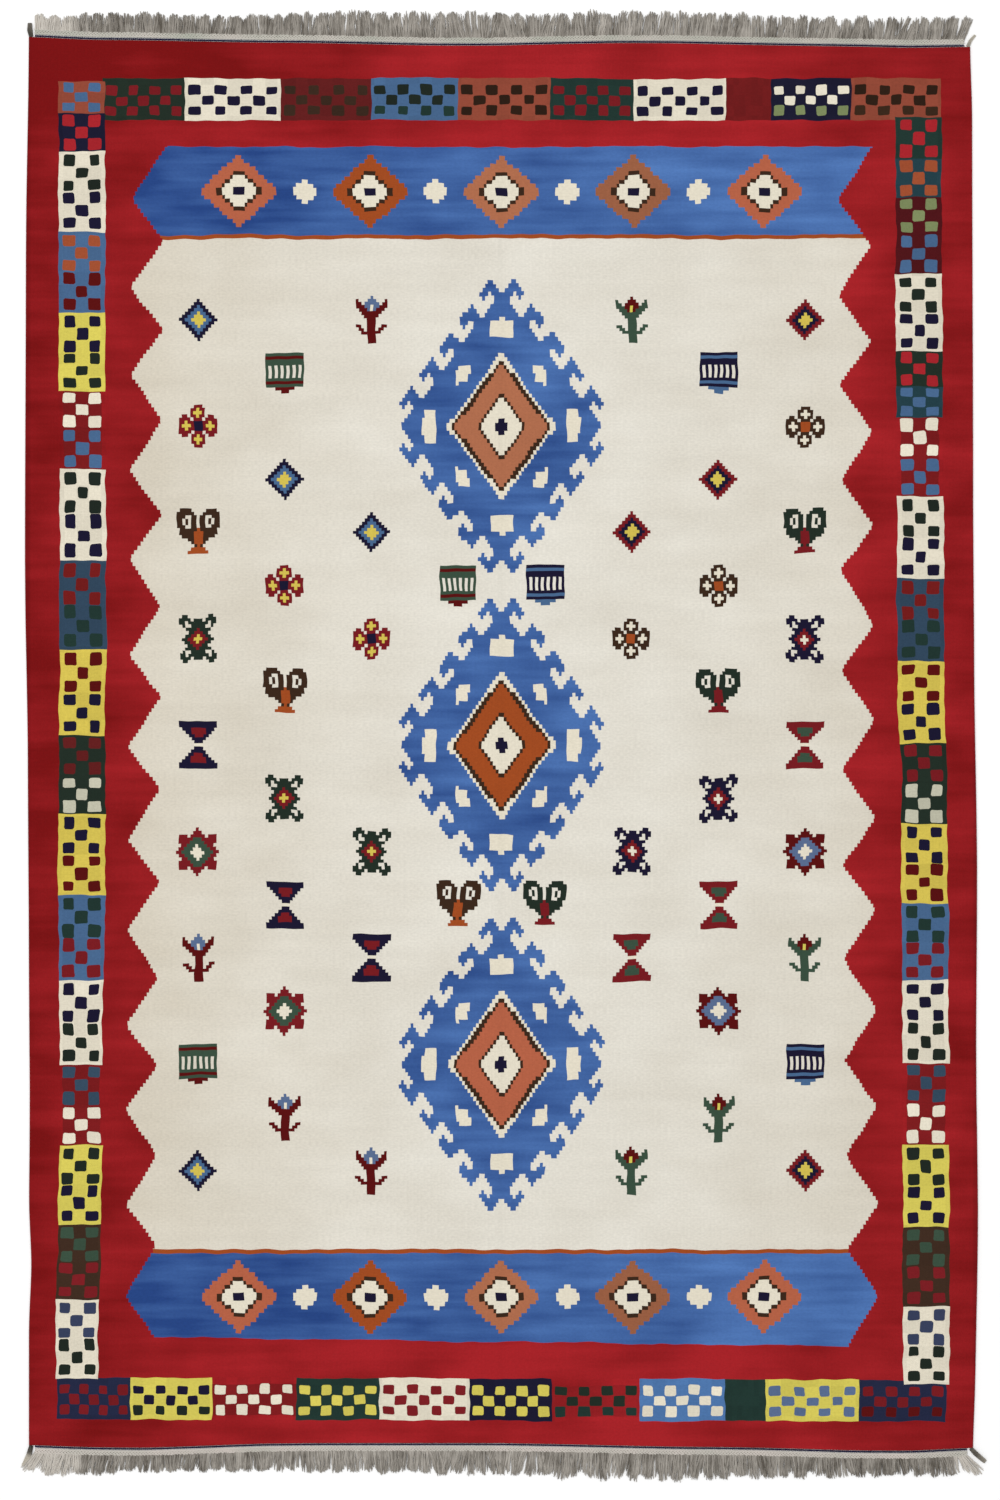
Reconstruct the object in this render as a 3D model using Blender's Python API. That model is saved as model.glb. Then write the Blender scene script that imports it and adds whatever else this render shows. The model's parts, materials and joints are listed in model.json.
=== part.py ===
"""Kilim rug, lying flat and face up.

A tapestry-woven wool cloth, finished at each end as a village kilim is: a
twined cord locks the last weft, a flat braid of warp ends lies outside it, and
the warps then hang loose as a fringe of tufts. The edge cords end in a short
tail at each corner of the cloth.

Units are metres, +Z is up and +Y runs to the rug's top end. The origin lies on
the surface that carries the rug, under the middle of the whole rug.
"""
import random
from collections import namedtuple

import bmesh
import bpy
from mathutils import Vector

MM = 0.001

# Driving dimensions.
BODY_WIDTH = 1.400
BODY_LENGTH = 2.070
CLOTH_THICKNESS = 0.0030
PIECE_GAP = 0.0003

# The woven edge is rounded, and one old fold runs along the cloth.
RIM_WIDTH = 0.004
RIM_THICKNESS = 0.0018
FOLD_AT = -0.007
FOLD_HALF_WIDTH = 0.014
FOLD_DEPTH = 0.0006

# End finishes, in the order that they lie outside the cloth.
TWINING_WIDTH = 0.0026
TWINING_THICKNESS = 0.0032
BRAID_WIDTH = 0.0086
BRAID_THICKNESS = 0.0034
FRINGE_LENGTH = 0.032
FRINGE_ROOT_THICKNESS = 0.0026
FRINGE_TIP_THICKNESS = 0.0014
FRINGE_SPINE = 0.003
TUFT_PITCH = 0.020
TUFT_GAP = 0.0014
TUFT_TAPER = 0.18
TUFT_UNEVENNESS = 0.10

# The end finishes stop short of the edge by the room that a corner tail takes.
TAIL_ROOM = 0.009
TAIL_THICKNESS = 0.0040

# Crowned profiles of the strips and tails: across is the place over the full
# width, and fullness is the share of the full thickness there.
ProfilePoint = namedtuple("ProfilePoint", "across fullness")

STRIP_PROFILE = (
    ProfilePoint(0.0, 0.65),
    ProfilePoint(0.5, 1.0),
    ProfilePoint(1.0, 0.65),
)

TAIL_PROFILE = (
    ProfilePoint(-0.5, 0.5),
    ProfilePoint(0.0, 1.0),
    ProfilePoint(0.5, 0.5),
)

# Cells of the cloth's grid, along and on each side of the fold.
CELLS_ALONG = 24
CELLS_BESIDE_FOLD = 8

# How far each border of the cloth wanders from its straight line, in
# millimetres: along is the place, from the middle, and out is outwards.
Drift = namedtuple("Drift", "along out")

EDGE_DRIFT = {
    "left": (
        Drift(-1035, -2.0),
        Drift(-670, -2.0),
        Drift(-560, -3.4),
        Drift(-340, -2.0),
        Drift(-50, -0.5),
        Drift(250, 3.9),
        Drift(700, 2.5),
        Drift(1035, -2.0),
    ),
    "right": (
        Drift(-1035, -4.0),
        Drift(-890, 0.7),
        Drift(-700, 3.6),
        Drift(-450, 0.7),
        Drift(-190, 2.2),
        Drift(140, -2.3),
        Drift(360, -3.7),
        Drift(950, -5.2),
        Drift(1035, -8.2),
    ),
}

END_DRIFT = {
    "top": (
        Drift(-700, 11.2),
        Drift(-600, 6.7),
        Drift(-300, 2.3),
        Drift(-60, -2.1),
        Drift(204, 2.3),
        Drift(470, -2.1),
        Drift(618, -5.1),
        Drift(700, -3.6),
    ),
    "bottom": (
        Drift(-700, -1.5),
        Drift(-564, 2.9),
        Drift(-300, -4.5),
        Drift(-32, -4.5),
        Drift(323, 1.4),
        Drift(590, 7.3),
        Drift(700, 2.5),
    ),
}

OUTWARD = {"left": -1, "right": 1, "top": 1, "bottom": -1}

# How the fringe is combed: lean is how far a tuft's tip stands to the right of
# its root, and stretch is its length, both as shares of the fringe's length.
Comb = namedtuple("Comb", "along lean stretch")

FRINGE_COMB = {
    "top": (
        Comb(-700, 0.02, 0.64),
        Comb(-640, 0.00, 0.68),
        Comb(-590, -0.05, 0.92),
        Comb(-400, 0.10, 0.84),
        Comb(-240, 0.02, 1.06),
        Comb(-80, -0.12, 1.12),
        Comb(80, 0.06, 0.96),
        Comb(220, 0.10, 1.04),
        Comb(485, 0.14, 0.86),
        Comb(700, 0.22, 1.02),
    ),
    "bottom": (
        Comb(-700, -0.28, 0.92),
        Comb(-600, -0.20, 0.98),
        Comb(-550, -0.10, 0.76),
        Comb(-250, 0.05, 0.95),
        Comb(-70, -0.04, 1.06),
        Comb(240, -0.10, 1.16),
        Comb(380, 0.02, 1.00),
        Comb(590, 0.08, 0.78),
        Comb(700, 0.14, 0.92),
    ),
}

FRINGE_SEED = {"top": 11, "bottom": 23}

# Sections of each corner tail, from the cloth outwards, in millimetres: ahead
# is past the cloth's end, aside is outwards across the rug, and width is full.
TailSection = namedtuple("TailSection", "ahead aside width")

TAILS = {
    ("top", "left"): (
        TailSection(0.0, -3.5, 8.0),
        TailSection(10.0, -1.5, 9.0),
        TailSection(21.0, -1.5, 7.0),
    ),
    ("top", "right"): (
        TailSection(0.0, -3.5, 6.0),
        TailSection(10.0, 0.0, 6.0),
        TailSection(20.0, 6.0, 4.0),
    ),
    ("bottom", "left"): (
        TailSection(0.0, -3.5, 8.0),
        TailSection(12.0, -1.0, 8.5),
        TailSection(22.0, 4.0, 7.0),
        TailSection(31.0, 10.0, 5.0),
    ),
    ("bottom", "right"): (
        TailSection(0.0, -3.5, 8.0),
        TailSection(8.0, 4.0, 9.0),
        TailSection(21.0, 19.0, 8.0),
    ),
}

# Yarn colours, linear.
MADDER_RED = (0.26, 0.011, 0.011)
NAVY = (0.012, 0.016, 0.070)
UNDYED_BRAID = (0.42, 0.42, 0.38)
UNDYED_WARP = (0.28, 0.255, 0.23)
EDGE_CORD_BROWN = (0.080, 0.062, 0.050)


def clear_scene():
    for obj in list(bpy.data.objects):
        bpy.data.objects.remove(obj, do_unlink=True)


def yarn_material(name, colour, roughness=0.95):
    """Matt wool or cotton yarn."""
    material = bpy.data.materials.new(name)
    material.use_nodes = True
    shader = material.node_tree.nodes["Principled BSDF"]
    shader.inputs["Base Color"].default_value = (*colour, 1.0)
    shader.inputs["Roughness"].default_value = roughness
    shader.inputs["Metallic"].default_value = 0.0
    return material


def read_table(rows, along, column):
    """A table's column at a place along it, eased from row to row."""
    place = along / MM
    if place <= rows[0].along:
        return getattr(rows[0], column)
    for low, high in zip(rows, rows[1:]):
        if place <= high.along:
            share = (place - low.along) / (high.along - low.along)
            ease = share * share * (3.0 - 2.0 * share)
            start = getattr(low, column)
            return start + (getattr(high, column) - start) * ease
    return getattr(rows[-1], column)


def edge_x(side, y):
    """The x of the left or right selvedge at a height along the rug."""
    out = read_table(EDGE_DRIFT[side], y, "out") * MM
    return OUTWARD[side] * (BODY_WIDTH / 2 + out)


def even_steps(start, end, cells):
    return [start + (end - start) * step / cells for step in range(cells + 1)]


def cloth_columns():
    """Nominal places across the rug that every piece's facets share."""
    inner = BODY_WIDTH / 2 - RIM_WIDTH
    left = even_steps(-inner, FOLD_AT - FOLD_HALF_WIDTH, CELLS_BESIDE_FOLD)
    right = even_steps(FOLD_AT + FOLD_HALF_WIDTH, inner, CELLS_BESIDE_FOLD)
    return [-BODY_WIDTH / 2, *left, FOLD_AT, *right, BODY_WIDTH / 2]


def cloth_rows():
    inner = BODY_LENGTH / 2 - RIM_WIDTH
    return [-BODY_LENGTH / 2, *even_steps(-inner, inner, CELLS_ALONG), BODY_LENGTH / 2]


def end_y(end, x, outward=0.0):
    """The y of the cloth's top or bottom end, straight between the columns."""
    columns = cloth_columns()
    x = min(max(x, columns[0]), columns[-1])
    for low, high in zip(columns, columns[1:]):
        if x <= high:
            share = (x - low) / (high - low)
            break
    low_out = read_table(END_DRIFT[end], low, "out") * MM
    high_out = read_table(END_DRIFT[end], high, "out") * MM
    out = low_out + (high_out - low_out) * share
    return OUTWARD[end] * (BODY_LENGTH / 2 + out + outward)


def cloth_point(across, along):
    """The place in plan of a nominal point of the cloth."""
    left = edge_x("left", along)
    right = edge_x("right", along)
    x = left + (right - left) * (across / BODY_WIDTH + 0.5)
    low = end_y("bottom", across)
    high = end_y("top", across)
    y = low + (high - low) * (along / BODY_LENGTH + 0.5)
    return x, y


def raised_slab(name, points, faces, heights, material, parent):
    """A closed flat piece: a plan of faces on the surface, raised to its heights."""
    bm = bmesh.new()
    plan = [bm.verts.new((x, y, 0.0)) for x, y in points]
    height_of = {vert.co.to_tuple(6): height for vert, height in zip(plan, heights)}
    for face in faces:
        bm.faces.new([plan[corner] for corner in face])
    raised = bmesh.ops.extrude_face_region(bm, geom=bm.faces[:])
    for item in raised["geom"]:
        if isinstance(item, bmesh.types.BMVert):
            item.co.z = height_of[item.co.to_tuple(6)]
    bmesh.ops.recalc_face_normals(bm, faces=bm.faces[:])
    mesh = bpy.data.meshes.new(name)
    bm.to_mesh(mesh)
    bm.free()
    mesh.materials.append(material)
    obj = bpy.data.objects.new(name, mesh)
    bpy.context.collection.objects.link(obj)
    obj.parent = parent
    return obj


def grid_faces(row_count, column_count):
    """Quads between neighbouring rows of points."""
    faces = []
    for row in range(row_count - 1):
        for column in range(column_count - 1):
            corner = row * column_count + column
            faces.append((corner, corner + 1, corner + 1 + column_count, corner + column_count))
    return faces


def make_woven_body(material, parent):
    columns = cloth_columns()
    rows = cloth_rows()
    points = []
    heights = []
    for along in rows:
        for across in columns:
            points.append(cloth_point(across, along))
            at_rim = across in (columns[0], columns[-1]) or along in (rows[0], rows[-1])
            height = RIM_THICKNESS if at_rim else CLOTH_THICKNESS
            if across == FOLD_AT and not at_rim:
                height -= FOLD_DEPTH
            heights.append(height)
    faces = grid_faces(len(rows), len(columns))
    return raised_slab("woven_body", points, faces, heights, material, parent)


def end_finish_columns(end):
    """Places across the rug for the pieces outside its end, between the tails."""
    corner_y = OUTWARD[end] * BODY_LENGTH / 2
    left = edge_x("left", corner_y) + TAIL_ROOM
    right = edge_x("right", corner_y) - TAIL_ROOM
    shared = [x for x in cloth_columns() if left < x < right]
    return [left, *shared, right]


def make_end_strip(name, end, inside, width, thickness, material, parent):
    """A crowned strip that follows the cloth's end, such as a cord or a braid."""
    columns = end_finish_columns(end)
    points = []
    heights = []
    for row in STRIP_PROFILE:
        for x in columns:
            points.append((x, end_y(end, x, inside + width * row.across)))
            heights.append(thickness * row.fullness)
    faces = grid_faces(len(STRIP_PROFILE), len(columns))
    return raised_slab(name, points, faces, heights, material, parent)


def tuft_plan(end, left, right, inside, length):
    """A tuft's outline as four rows of a left and a right point, root to tip."""
    middle = (left + right) / 2
    half = (right - left) / 2
    lean = read_table(FRINGE_COMB[end], middle, "lean") * FRINGE_LENGTH
    spine = FRINGE_SPINE / length
    points = []
    for share in (0.0, spine, (1.0 + spine) / 2, 1.0):
        free = (share - spine) / (1.0 - spine) if share > spine else 0.0
        centre = middle + lean * free
        reach = half * (1.0 - TUFT_TAPER * free ** 2)
        outward = inside + length * share
        points += [(x, end_y(end, x, outward)) for x in (centre - reach, centre + reach)]
    return points


def make_fringe(end, inside, material, parent):
    """Warp ends in tufts: one comb whose spine lies along the braid."""
    rng = random.Random(FRINGE_SEED[end])
    columns = end_finish_columns(end)
    start, stop = columns[0], columns[-1]
    tuft_count = round((stop - start) / TUFT_PITCH)
    pitch = (stop - start) / tuft_count
    points = []
    heights = []
    faces = []
    for tuft in range(tuft_count):
        left = start + pitch * tuft + TUFT_GAP / 2
        right = start + pitch * (tuft + 1) - TUFT_GAP / 2
        stretch = read_table(FRINGE_COMB[end], (left + right) / 2, "stretch")
        unevenness = rng.uniform(-TUFT_UNEVENNESS, TUFT_UNEVENNESS)
        length = FRINGE_LENGTH * stretch * (1.0 + unevenness)
        first = len(points)
        points += tuft_plan(end, left, right, inside, length)
        heights += [FRINGE_ROOT_THICKNESS] * 6 + [FRINGE_TIP_THICKNESS] * 2
        faces += [(corner, corner + 1, corner + 3, corner + 2) for corner in (first, first + 2, first + 4)]
        if tuft:
            before = first - 8
            faces.append((before + 1, first, first + 2, before + 3))
    return raised_slab("fringe_" + end, points, faces, heights, material, parent)


def make_tail(end, side, material, parent):
    """A flattened bundle of edge cord ends, in crowned sections of three points."""
    corner_x = edge_x(side, OUTWARD[end] * BODY_LENGTH / 2)
    sections = TAILS[(end, side)]
    centres = []
    for section in sections:
        x = corner_x + OUTWARD[side] * section.aside * MM
        outward = PIECE_GAP + section.ahead * MM
        centres.append(Vector((x, end_y(end, x, outward))))
    points = []
    heights = []
    for index, section in enumerate(sections):
        if index == 0:
            across = Vector((1.0, 0.0))
        else:
            ahead = (centres[index] - centres[index - 1]).normalized()
            across = Vector((ahead.y, -ahead.x)) * OUTWARD[end]
        for place in TAIL_PROFILE:
            point = centres[index] + across * section.width * MM * place.across
            if index == 0:
                point.y = end_y(end, point.x, PIECE_GAP)
            points.append(tuple(point))
            heights.append(TAIL_THICKNESS * place.fullness)
    faces = grid_faces(len(sections), len(TAIL_PROFILE))
    return raised_slab(f"tail_{end}_{side}", points, faces, heights, material, parent)


def centre_on_origin(parent, pieces):
    """Move the whole rug so that its box stands centred over the origin."""
    bpy.context.view_layer.update()
    corners = [piece.matrix_world @ vert.co for piece in pieces for vert in piece.data.vertices]
    for axis in (0, 1):
        low = min(corner[axis] for corner in corners)
        high = max(corner[axis] for corner in corners)
        parent.location[axis] = -(low + high) / 2


def main():
    clear_scene()
    red = yarn_material("madder red wool", MADDER_RED)
    navy = yarn_material("navy wool cord", NAVY)
    braid = yarn_material("undyed braided warp", UNDYED_BRAID)
    warp = yarn_material("undyed loose warp", UNDYED_WARP)
    brown = yarn_material("brown edge cord", EDGE_CORD_BROWN)

    rug = bpy.data.objects.new("kilim", None)
    bpy.context.collection.objects.link(rug)

    braid_inside = PIECE_GAP + TWINING_WIDTH + PIECE_GAP
    fringe_inside = braid_inside + BRAID_WIDTH + PIECE_GAP
    pieces = [make_woven_body(red, rug)]
    for end in ("top", "bottom"):
        pieces.append(make_end_strip("twining_" + end, end, PIECE_GAP, TWINING_WIDTH,
                                     TWINING_THICKNESS, navy, rug))
        pieces.append(make_end_strip("braid_" + end, end, braid_inside, BRAID_WIDTH,
                                     BRAID_THICKNESS, braid, rug))
        pieces.append(make_fringe(end, fringe_inside, warp, rug))
        for side in ("left", "right"):
            pieces.append(make_tail(end, side, brown, rug))
    centre_on_origin(rug, pieces)


main()
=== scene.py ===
# %% [markdown]
# # A kilim rug
#
# A kilim is a flat tapestry weave. Its warps run the long way and never show:
# wool weft, packed down hard, covers them. Each patch of colour has its own weft,
# which turns back at the patch's edge, so a slanting edge comes out as small steps.
# The weaver locks each end with a twined cord, braids the warps flat outside it
# and leaves the rest of them as a fringe.
#
# The lesson makes it in that order: the cloth, its pattern, its ends, its corners.

# %% Load the frame
import sys
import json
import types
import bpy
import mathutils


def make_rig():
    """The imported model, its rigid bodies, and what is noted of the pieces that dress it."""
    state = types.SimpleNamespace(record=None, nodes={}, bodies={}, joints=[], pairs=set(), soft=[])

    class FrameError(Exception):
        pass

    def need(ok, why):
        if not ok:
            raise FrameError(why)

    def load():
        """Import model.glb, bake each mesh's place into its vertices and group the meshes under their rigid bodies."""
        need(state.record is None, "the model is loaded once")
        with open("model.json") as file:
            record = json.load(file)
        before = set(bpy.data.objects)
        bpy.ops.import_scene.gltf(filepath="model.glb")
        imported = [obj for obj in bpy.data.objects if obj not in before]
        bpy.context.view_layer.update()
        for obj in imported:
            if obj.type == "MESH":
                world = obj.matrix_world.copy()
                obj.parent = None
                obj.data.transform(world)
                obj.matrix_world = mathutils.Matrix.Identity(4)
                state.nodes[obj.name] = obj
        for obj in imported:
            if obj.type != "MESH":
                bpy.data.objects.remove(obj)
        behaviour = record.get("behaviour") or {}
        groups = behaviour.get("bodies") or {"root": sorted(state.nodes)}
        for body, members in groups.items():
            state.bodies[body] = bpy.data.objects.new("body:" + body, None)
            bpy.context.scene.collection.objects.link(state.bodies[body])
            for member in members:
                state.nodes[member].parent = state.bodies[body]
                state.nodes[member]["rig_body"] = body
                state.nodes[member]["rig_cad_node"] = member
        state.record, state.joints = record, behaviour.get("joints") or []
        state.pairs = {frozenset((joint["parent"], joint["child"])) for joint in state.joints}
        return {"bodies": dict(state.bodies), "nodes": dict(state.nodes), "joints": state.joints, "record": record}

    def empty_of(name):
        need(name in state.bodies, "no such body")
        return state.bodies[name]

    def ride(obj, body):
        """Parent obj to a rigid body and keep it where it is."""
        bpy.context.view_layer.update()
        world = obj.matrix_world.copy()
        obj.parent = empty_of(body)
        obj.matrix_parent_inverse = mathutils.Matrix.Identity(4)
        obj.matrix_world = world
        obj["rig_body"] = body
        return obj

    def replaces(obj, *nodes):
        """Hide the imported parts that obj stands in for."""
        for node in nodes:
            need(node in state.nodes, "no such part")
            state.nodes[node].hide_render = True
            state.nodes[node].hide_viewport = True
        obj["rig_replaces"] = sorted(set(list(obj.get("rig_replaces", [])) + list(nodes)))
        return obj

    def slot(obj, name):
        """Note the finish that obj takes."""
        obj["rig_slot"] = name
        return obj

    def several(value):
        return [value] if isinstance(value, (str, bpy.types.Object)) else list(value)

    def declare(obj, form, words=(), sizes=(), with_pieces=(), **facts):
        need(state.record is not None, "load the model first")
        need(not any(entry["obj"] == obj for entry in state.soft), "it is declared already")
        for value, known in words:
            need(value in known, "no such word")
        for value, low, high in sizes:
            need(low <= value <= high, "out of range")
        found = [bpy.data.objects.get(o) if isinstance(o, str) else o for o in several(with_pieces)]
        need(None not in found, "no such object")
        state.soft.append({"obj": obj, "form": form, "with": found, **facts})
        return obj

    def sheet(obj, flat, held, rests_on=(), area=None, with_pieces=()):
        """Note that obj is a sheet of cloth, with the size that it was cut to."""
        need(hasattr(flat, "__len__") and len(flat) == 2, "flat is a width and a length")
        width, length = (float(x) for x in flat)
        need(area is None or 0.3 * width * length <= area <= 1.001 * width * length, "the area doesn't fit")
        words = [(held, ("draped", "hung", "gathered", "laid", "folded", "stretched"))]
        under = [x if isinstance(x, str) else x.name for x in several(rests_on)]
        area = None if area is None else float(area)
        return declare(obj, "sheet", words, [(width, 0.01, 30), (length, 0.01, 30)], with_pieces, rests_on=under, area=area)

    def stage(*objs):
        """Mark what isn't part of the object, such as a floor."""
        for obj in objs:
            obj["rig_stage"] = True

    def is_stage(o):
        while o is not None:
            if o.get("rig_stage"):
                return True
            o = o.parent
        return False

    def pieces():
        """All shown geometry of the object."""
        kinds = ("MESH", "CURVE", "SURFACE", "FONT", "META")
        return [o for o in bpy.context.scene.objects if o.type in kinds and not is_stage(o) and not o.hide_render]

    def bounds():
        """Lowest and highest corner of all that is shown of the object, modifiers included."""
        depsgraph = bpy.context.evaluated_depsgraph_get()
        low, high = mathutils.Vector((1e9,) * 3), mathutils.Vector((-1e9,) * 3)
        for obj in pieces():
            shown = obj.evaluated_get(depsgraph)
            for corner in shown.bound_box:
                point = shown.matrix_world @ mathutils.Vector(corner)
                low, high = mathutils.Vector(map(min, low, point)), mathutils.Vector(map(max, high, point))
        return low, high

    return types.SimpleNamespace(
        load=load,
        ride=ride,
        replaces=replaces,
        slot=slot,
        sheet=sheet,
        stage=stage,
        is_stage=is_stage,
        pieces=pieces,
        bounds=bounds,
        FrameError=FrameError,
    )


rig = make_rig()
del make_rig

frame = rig.load()
cad_low, cad_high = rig.bounds()

# %% Other modules
import ast
import json

import bpy
import numpy as np
from mathutils import Vector

MM = 0.001
print("the frame holds", len(frame["nodes"]), "solids,",
      f"{(cad_high - cad_low).x:.3f} by {(cad_high - cad_low).y:.3f} m")

# %% [markdown]
# ## A few small helpers
#
# The lesson needs a way to give colours as they are written on a dyer's card, one
# to put data into the scene, one to add a node and one to start a material. `put`
# takes any kind of node, so that a tree reads as a list of what it is made of.
# Where an input is given a whole node, that node's first output is meant.

# %% Colours, objects and nodes
def linear(code, alpha=1.0):
    """An sRGB colour such as '9b2225' as the linear values that nodes hold."""
    parts = [int(code[start:start + 2], 16) / 255 for start in (0, 2, 4)]
    curve = [part / 12.92 if part <= 0.04045 else ((part + 0.055) / 1.055) ** 2.4 for part in parts]
    return (*curve, alpha)


def show(data, name):
    """Put data in the scene as a named object."""
    thing = bpy.data.objects.new(name, data)
    bpy.context.scene.collection.objects.link(thing)
    return thing


def feed(node, inputs):
    """Give each input of a node a value, another node, or one output of another node."""
    for key, value in dict(inputs).items():
        value = value.outputs[0] if isinstance(value, bpy.types.Node) else value
        if isinstance(value, bpy.types.NodeSocket):
            node.id_data.links.new(value, node.inputs[key])
        else:
            node.inputs[key].default_value = value


def put(tree, kind, inputs=(), **settings):
    """Add a node, and give it its settings and its inputs."""
    node = tree.nodes.new(kind)
    for name, value in settings.items():
        setattr(node, name, value)
    feed(node, inputs)
    return node


def start_material(name):
    """A new material, its node tree and its shader."""
    material = bpy.data.materials.new(name)
    material.use_nodes = True
    return material, material.node_tree, material.node_tree.nodes["Principled BSDF"]


# %% [markdown]
# ## The studio
#
# The rug lies on a pale floor and is seen from straight above. A long lens from
# six metres up keeps its sides parallel. A large soft lamp stands a little to one
# side, so that the ribs of the weave catch it, and a white sky fills the rest. The
# floor's matt paint has no gloss and shows only the rug's thin shadow.

# %% Camera, lamp, sky and floor
CAMERA_HEIGHT = 6.0
FRAME_LENGTH = 2.2155
CAMERA_PLACE = (-0.0061, -0.0056)
SENSOR = 36.0
FAR_CLIP = 50.0
LAMP_PLACE = Vector((-2.0, 1.0, 6.8))
LAMP_SIZE = 3.0
LAMP_POWER = 215.0
SKY_STRENGTH = 0.735
FLOOR_REACH = 30.0
FLOOR_GAP = 0.0004

camera = show(bpy.data.cameras.new("camera"), "camera")
camera.data.sensor_width = SENSOR
camera.data.lens = SENSOR * CAMERA_HEIGHT / FRAME_LENGTH
camera.data.clip_end = FAR_CLIP
camera.location = (*CAMERA_PLACE, CAMERA_HEIGHT)
bpy.context.scene.camera = camera

lamp = show(bpy.data.lights.new("soft box", "AREA"), "soft box")
lamp.data.size = LAMP_SIZE
lamp.data.energy = LAMP_POWER
lamp.location = LAMP_PLACE
lamp.rotation_euler = (-LAMP_PLACE).to_track_quat("-Z", "Y").to_euler()

sky = bpy.data.worlds.new("studio sky")
sky.use_nodes = True
feed(sky.node_tree.nodes["Background"], {"Color": linear("ffffff"), "Strength": SKY_STRENGTH})
bpy.context.scene.world = sky
bpy.context.scene.view_settings.view_transform = "Standard"

floor_paint, _, floor_shader = start_material("matt white floor paint")
feed(floor_shader, {"Base Color": linear("fbfbfb"), "Roughness": 0.9, "Specular IOR Level": 0.0})
floor_mesh = bpy.data.meshes.new("floor")
floor_corners = [(x * FLOOR_REACH, y * FLOOR_REACH, -FLOOR_GAP)
                 for x, y in ((-1, -1), (1, -1), (1, 1), (-1, 1))]
floor_mesh.from_pydata(floor_corners, [], [(0, 1, 2, 3)])
floor_mesh.materials.append(floor_paint)
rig.stage(show(floor_mesh, "floor"))
print(f"the lens is {camera.data.lens:.1f} mm long")

# %% [markdown]
# ## The outline of the cloth
#
# No hand-woven rug is a true rectangle: its sides wander by a few millimetres and
# one corner runs ahead. The solid of the cloth in the frame has that outline
# already, so the outermost corners of each side are read from it and joined by a
# smooth line. A place counted in even warps and wefts then has a place on the floor.

# %% Read the outline
WIDTH = 1400.0
LENGTH = 2070.0
EDGE_BAND = 12.0
SAME_PLACE = 1.5
SAMPLE = 5.0
SMOOTHING = 8

corners = np.array([vertex.co[:] for vertex in frame["nodes"]["woven_body"].data.vertices]) / MM


def edge_line(along, out, sign):
    """One side of the cloth: out as a smooth function of along, in millimetres."""
    near = corners[sign * corners[:, out] > (WIDTH, LENGTH)[out] / 2 - EDGE_BAND]
    near = near[np.argsort(near[:, along])]
    groups = np.split(near, np.flatnonzero(np.diff(near[:, along]) > SAME_PLACE) + 1)
    line = np.array([group[np.argmax(sign * group[:, out])] for group in groups])
    places = np.arange(-LENGTH, LENGTH, SAMPLE)
    steps = np.pad(np.interp(places, line[:, along], line[:, out]), SMOOTHING, mode="edge")
    window = np.hanning(2 * SMOOTHING + 1)
    smooth = np.convolve(steps, window / window.sum(), mode="valid")
    return lambda place: np.interp(place, places, smooth)


left_side, right_side = edge_line(1, 0, -1), edge_line(1, 0, 1)
bottom_end, top_end = edge_line(0, 1, -1), edge_line(0, 1, 1)


def on_floor(across, along):
    """Where a place in the weave lies on the floor. Both are in millimetres."""
    left, right = left_side(along), right_side(along)
    x = left + (right - left) * (across / WIDTH + 0.5)
    low, high = bottom_end(x), top_end(x)
    return x, low + (high - low) * (along / LENGTH + 0.5)


for name, place in (("top left", (-WIDTH / 2, LENGTH / 2)), ("bottom right", (WIDTH / 2, -LENGTH / 2))):
    print(name, "corner lies at", [round(float(value), 1) for value in on_floor(*place)])

# %% [markdown]
# ## The cloth
#
# The cloth is one closed sheet three millimetres thick, with two faces and a round
# rim. Along each side the last warps are bundled, so the edge is a little thicker
# than the web. An old fold left a shallow trough along the middle, and the web
# rises and sinks by a fraction of a millimetre where the weft was beaten in harder.
#
# A grid of even places, moved to the outline, is the shortest way to such a sheet.
# Two maps come with it. One holds millimetres from the middle of the field, for the
# pattern and the ribs to follow. The other runs from 0 to 1 on both faces alike,
# because a kilim shows the same pattern on its back.

# %% Make the cloth
GRID_STEP = 12.0
RIM_PLACES = np.array((0.0, 0.4, 1.2, 2.4, 4.0, 6.0, 9.0))
CLOTH = 3.0
EDGE_BUNDLE = 0.7
BUNDLE_AT, BUNDLE_WIDTH = 2.6, 1.9
FIELD_MIDDLE = np.array((-3.8, 1.4))
FOLD_AT, FOLD_WIDTH, FOLD_DEPTH = -5.0, 11.0, 0.6
SWELL, SWELL_FROM = 0.5, 30.0
MEAN_SHARE, WIDE_SHARE, NARROW_SHARE = 0.5, 0.3, 0.2
WIDE_ACROSS, WIDE_ALONG, WIDE_BEND, WIDE_BEND_PITCH, WIDE_START = 83.0, 121.0, 0.6, 140.0, 1.3
NARROW_ACROSS, NARROW_ALONG, NARROW_BEND_PITCH, NARROW_START = 37.0, 51.0, 90.0, 2.0
MAP_MARGIN = 0.002


def grid_places(length):
    """Places from one edge to the other, close together at the rims."""
    reach = length / 2 - RIM_PLACES
    middle = np.linspace(-reach[-1], reach[-1], round(2 * reach[-1] / GRID_STEP) + 1)
    return np.concatenate([-reach[:-1], middle, reach[:-1][::-1]])


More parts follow.
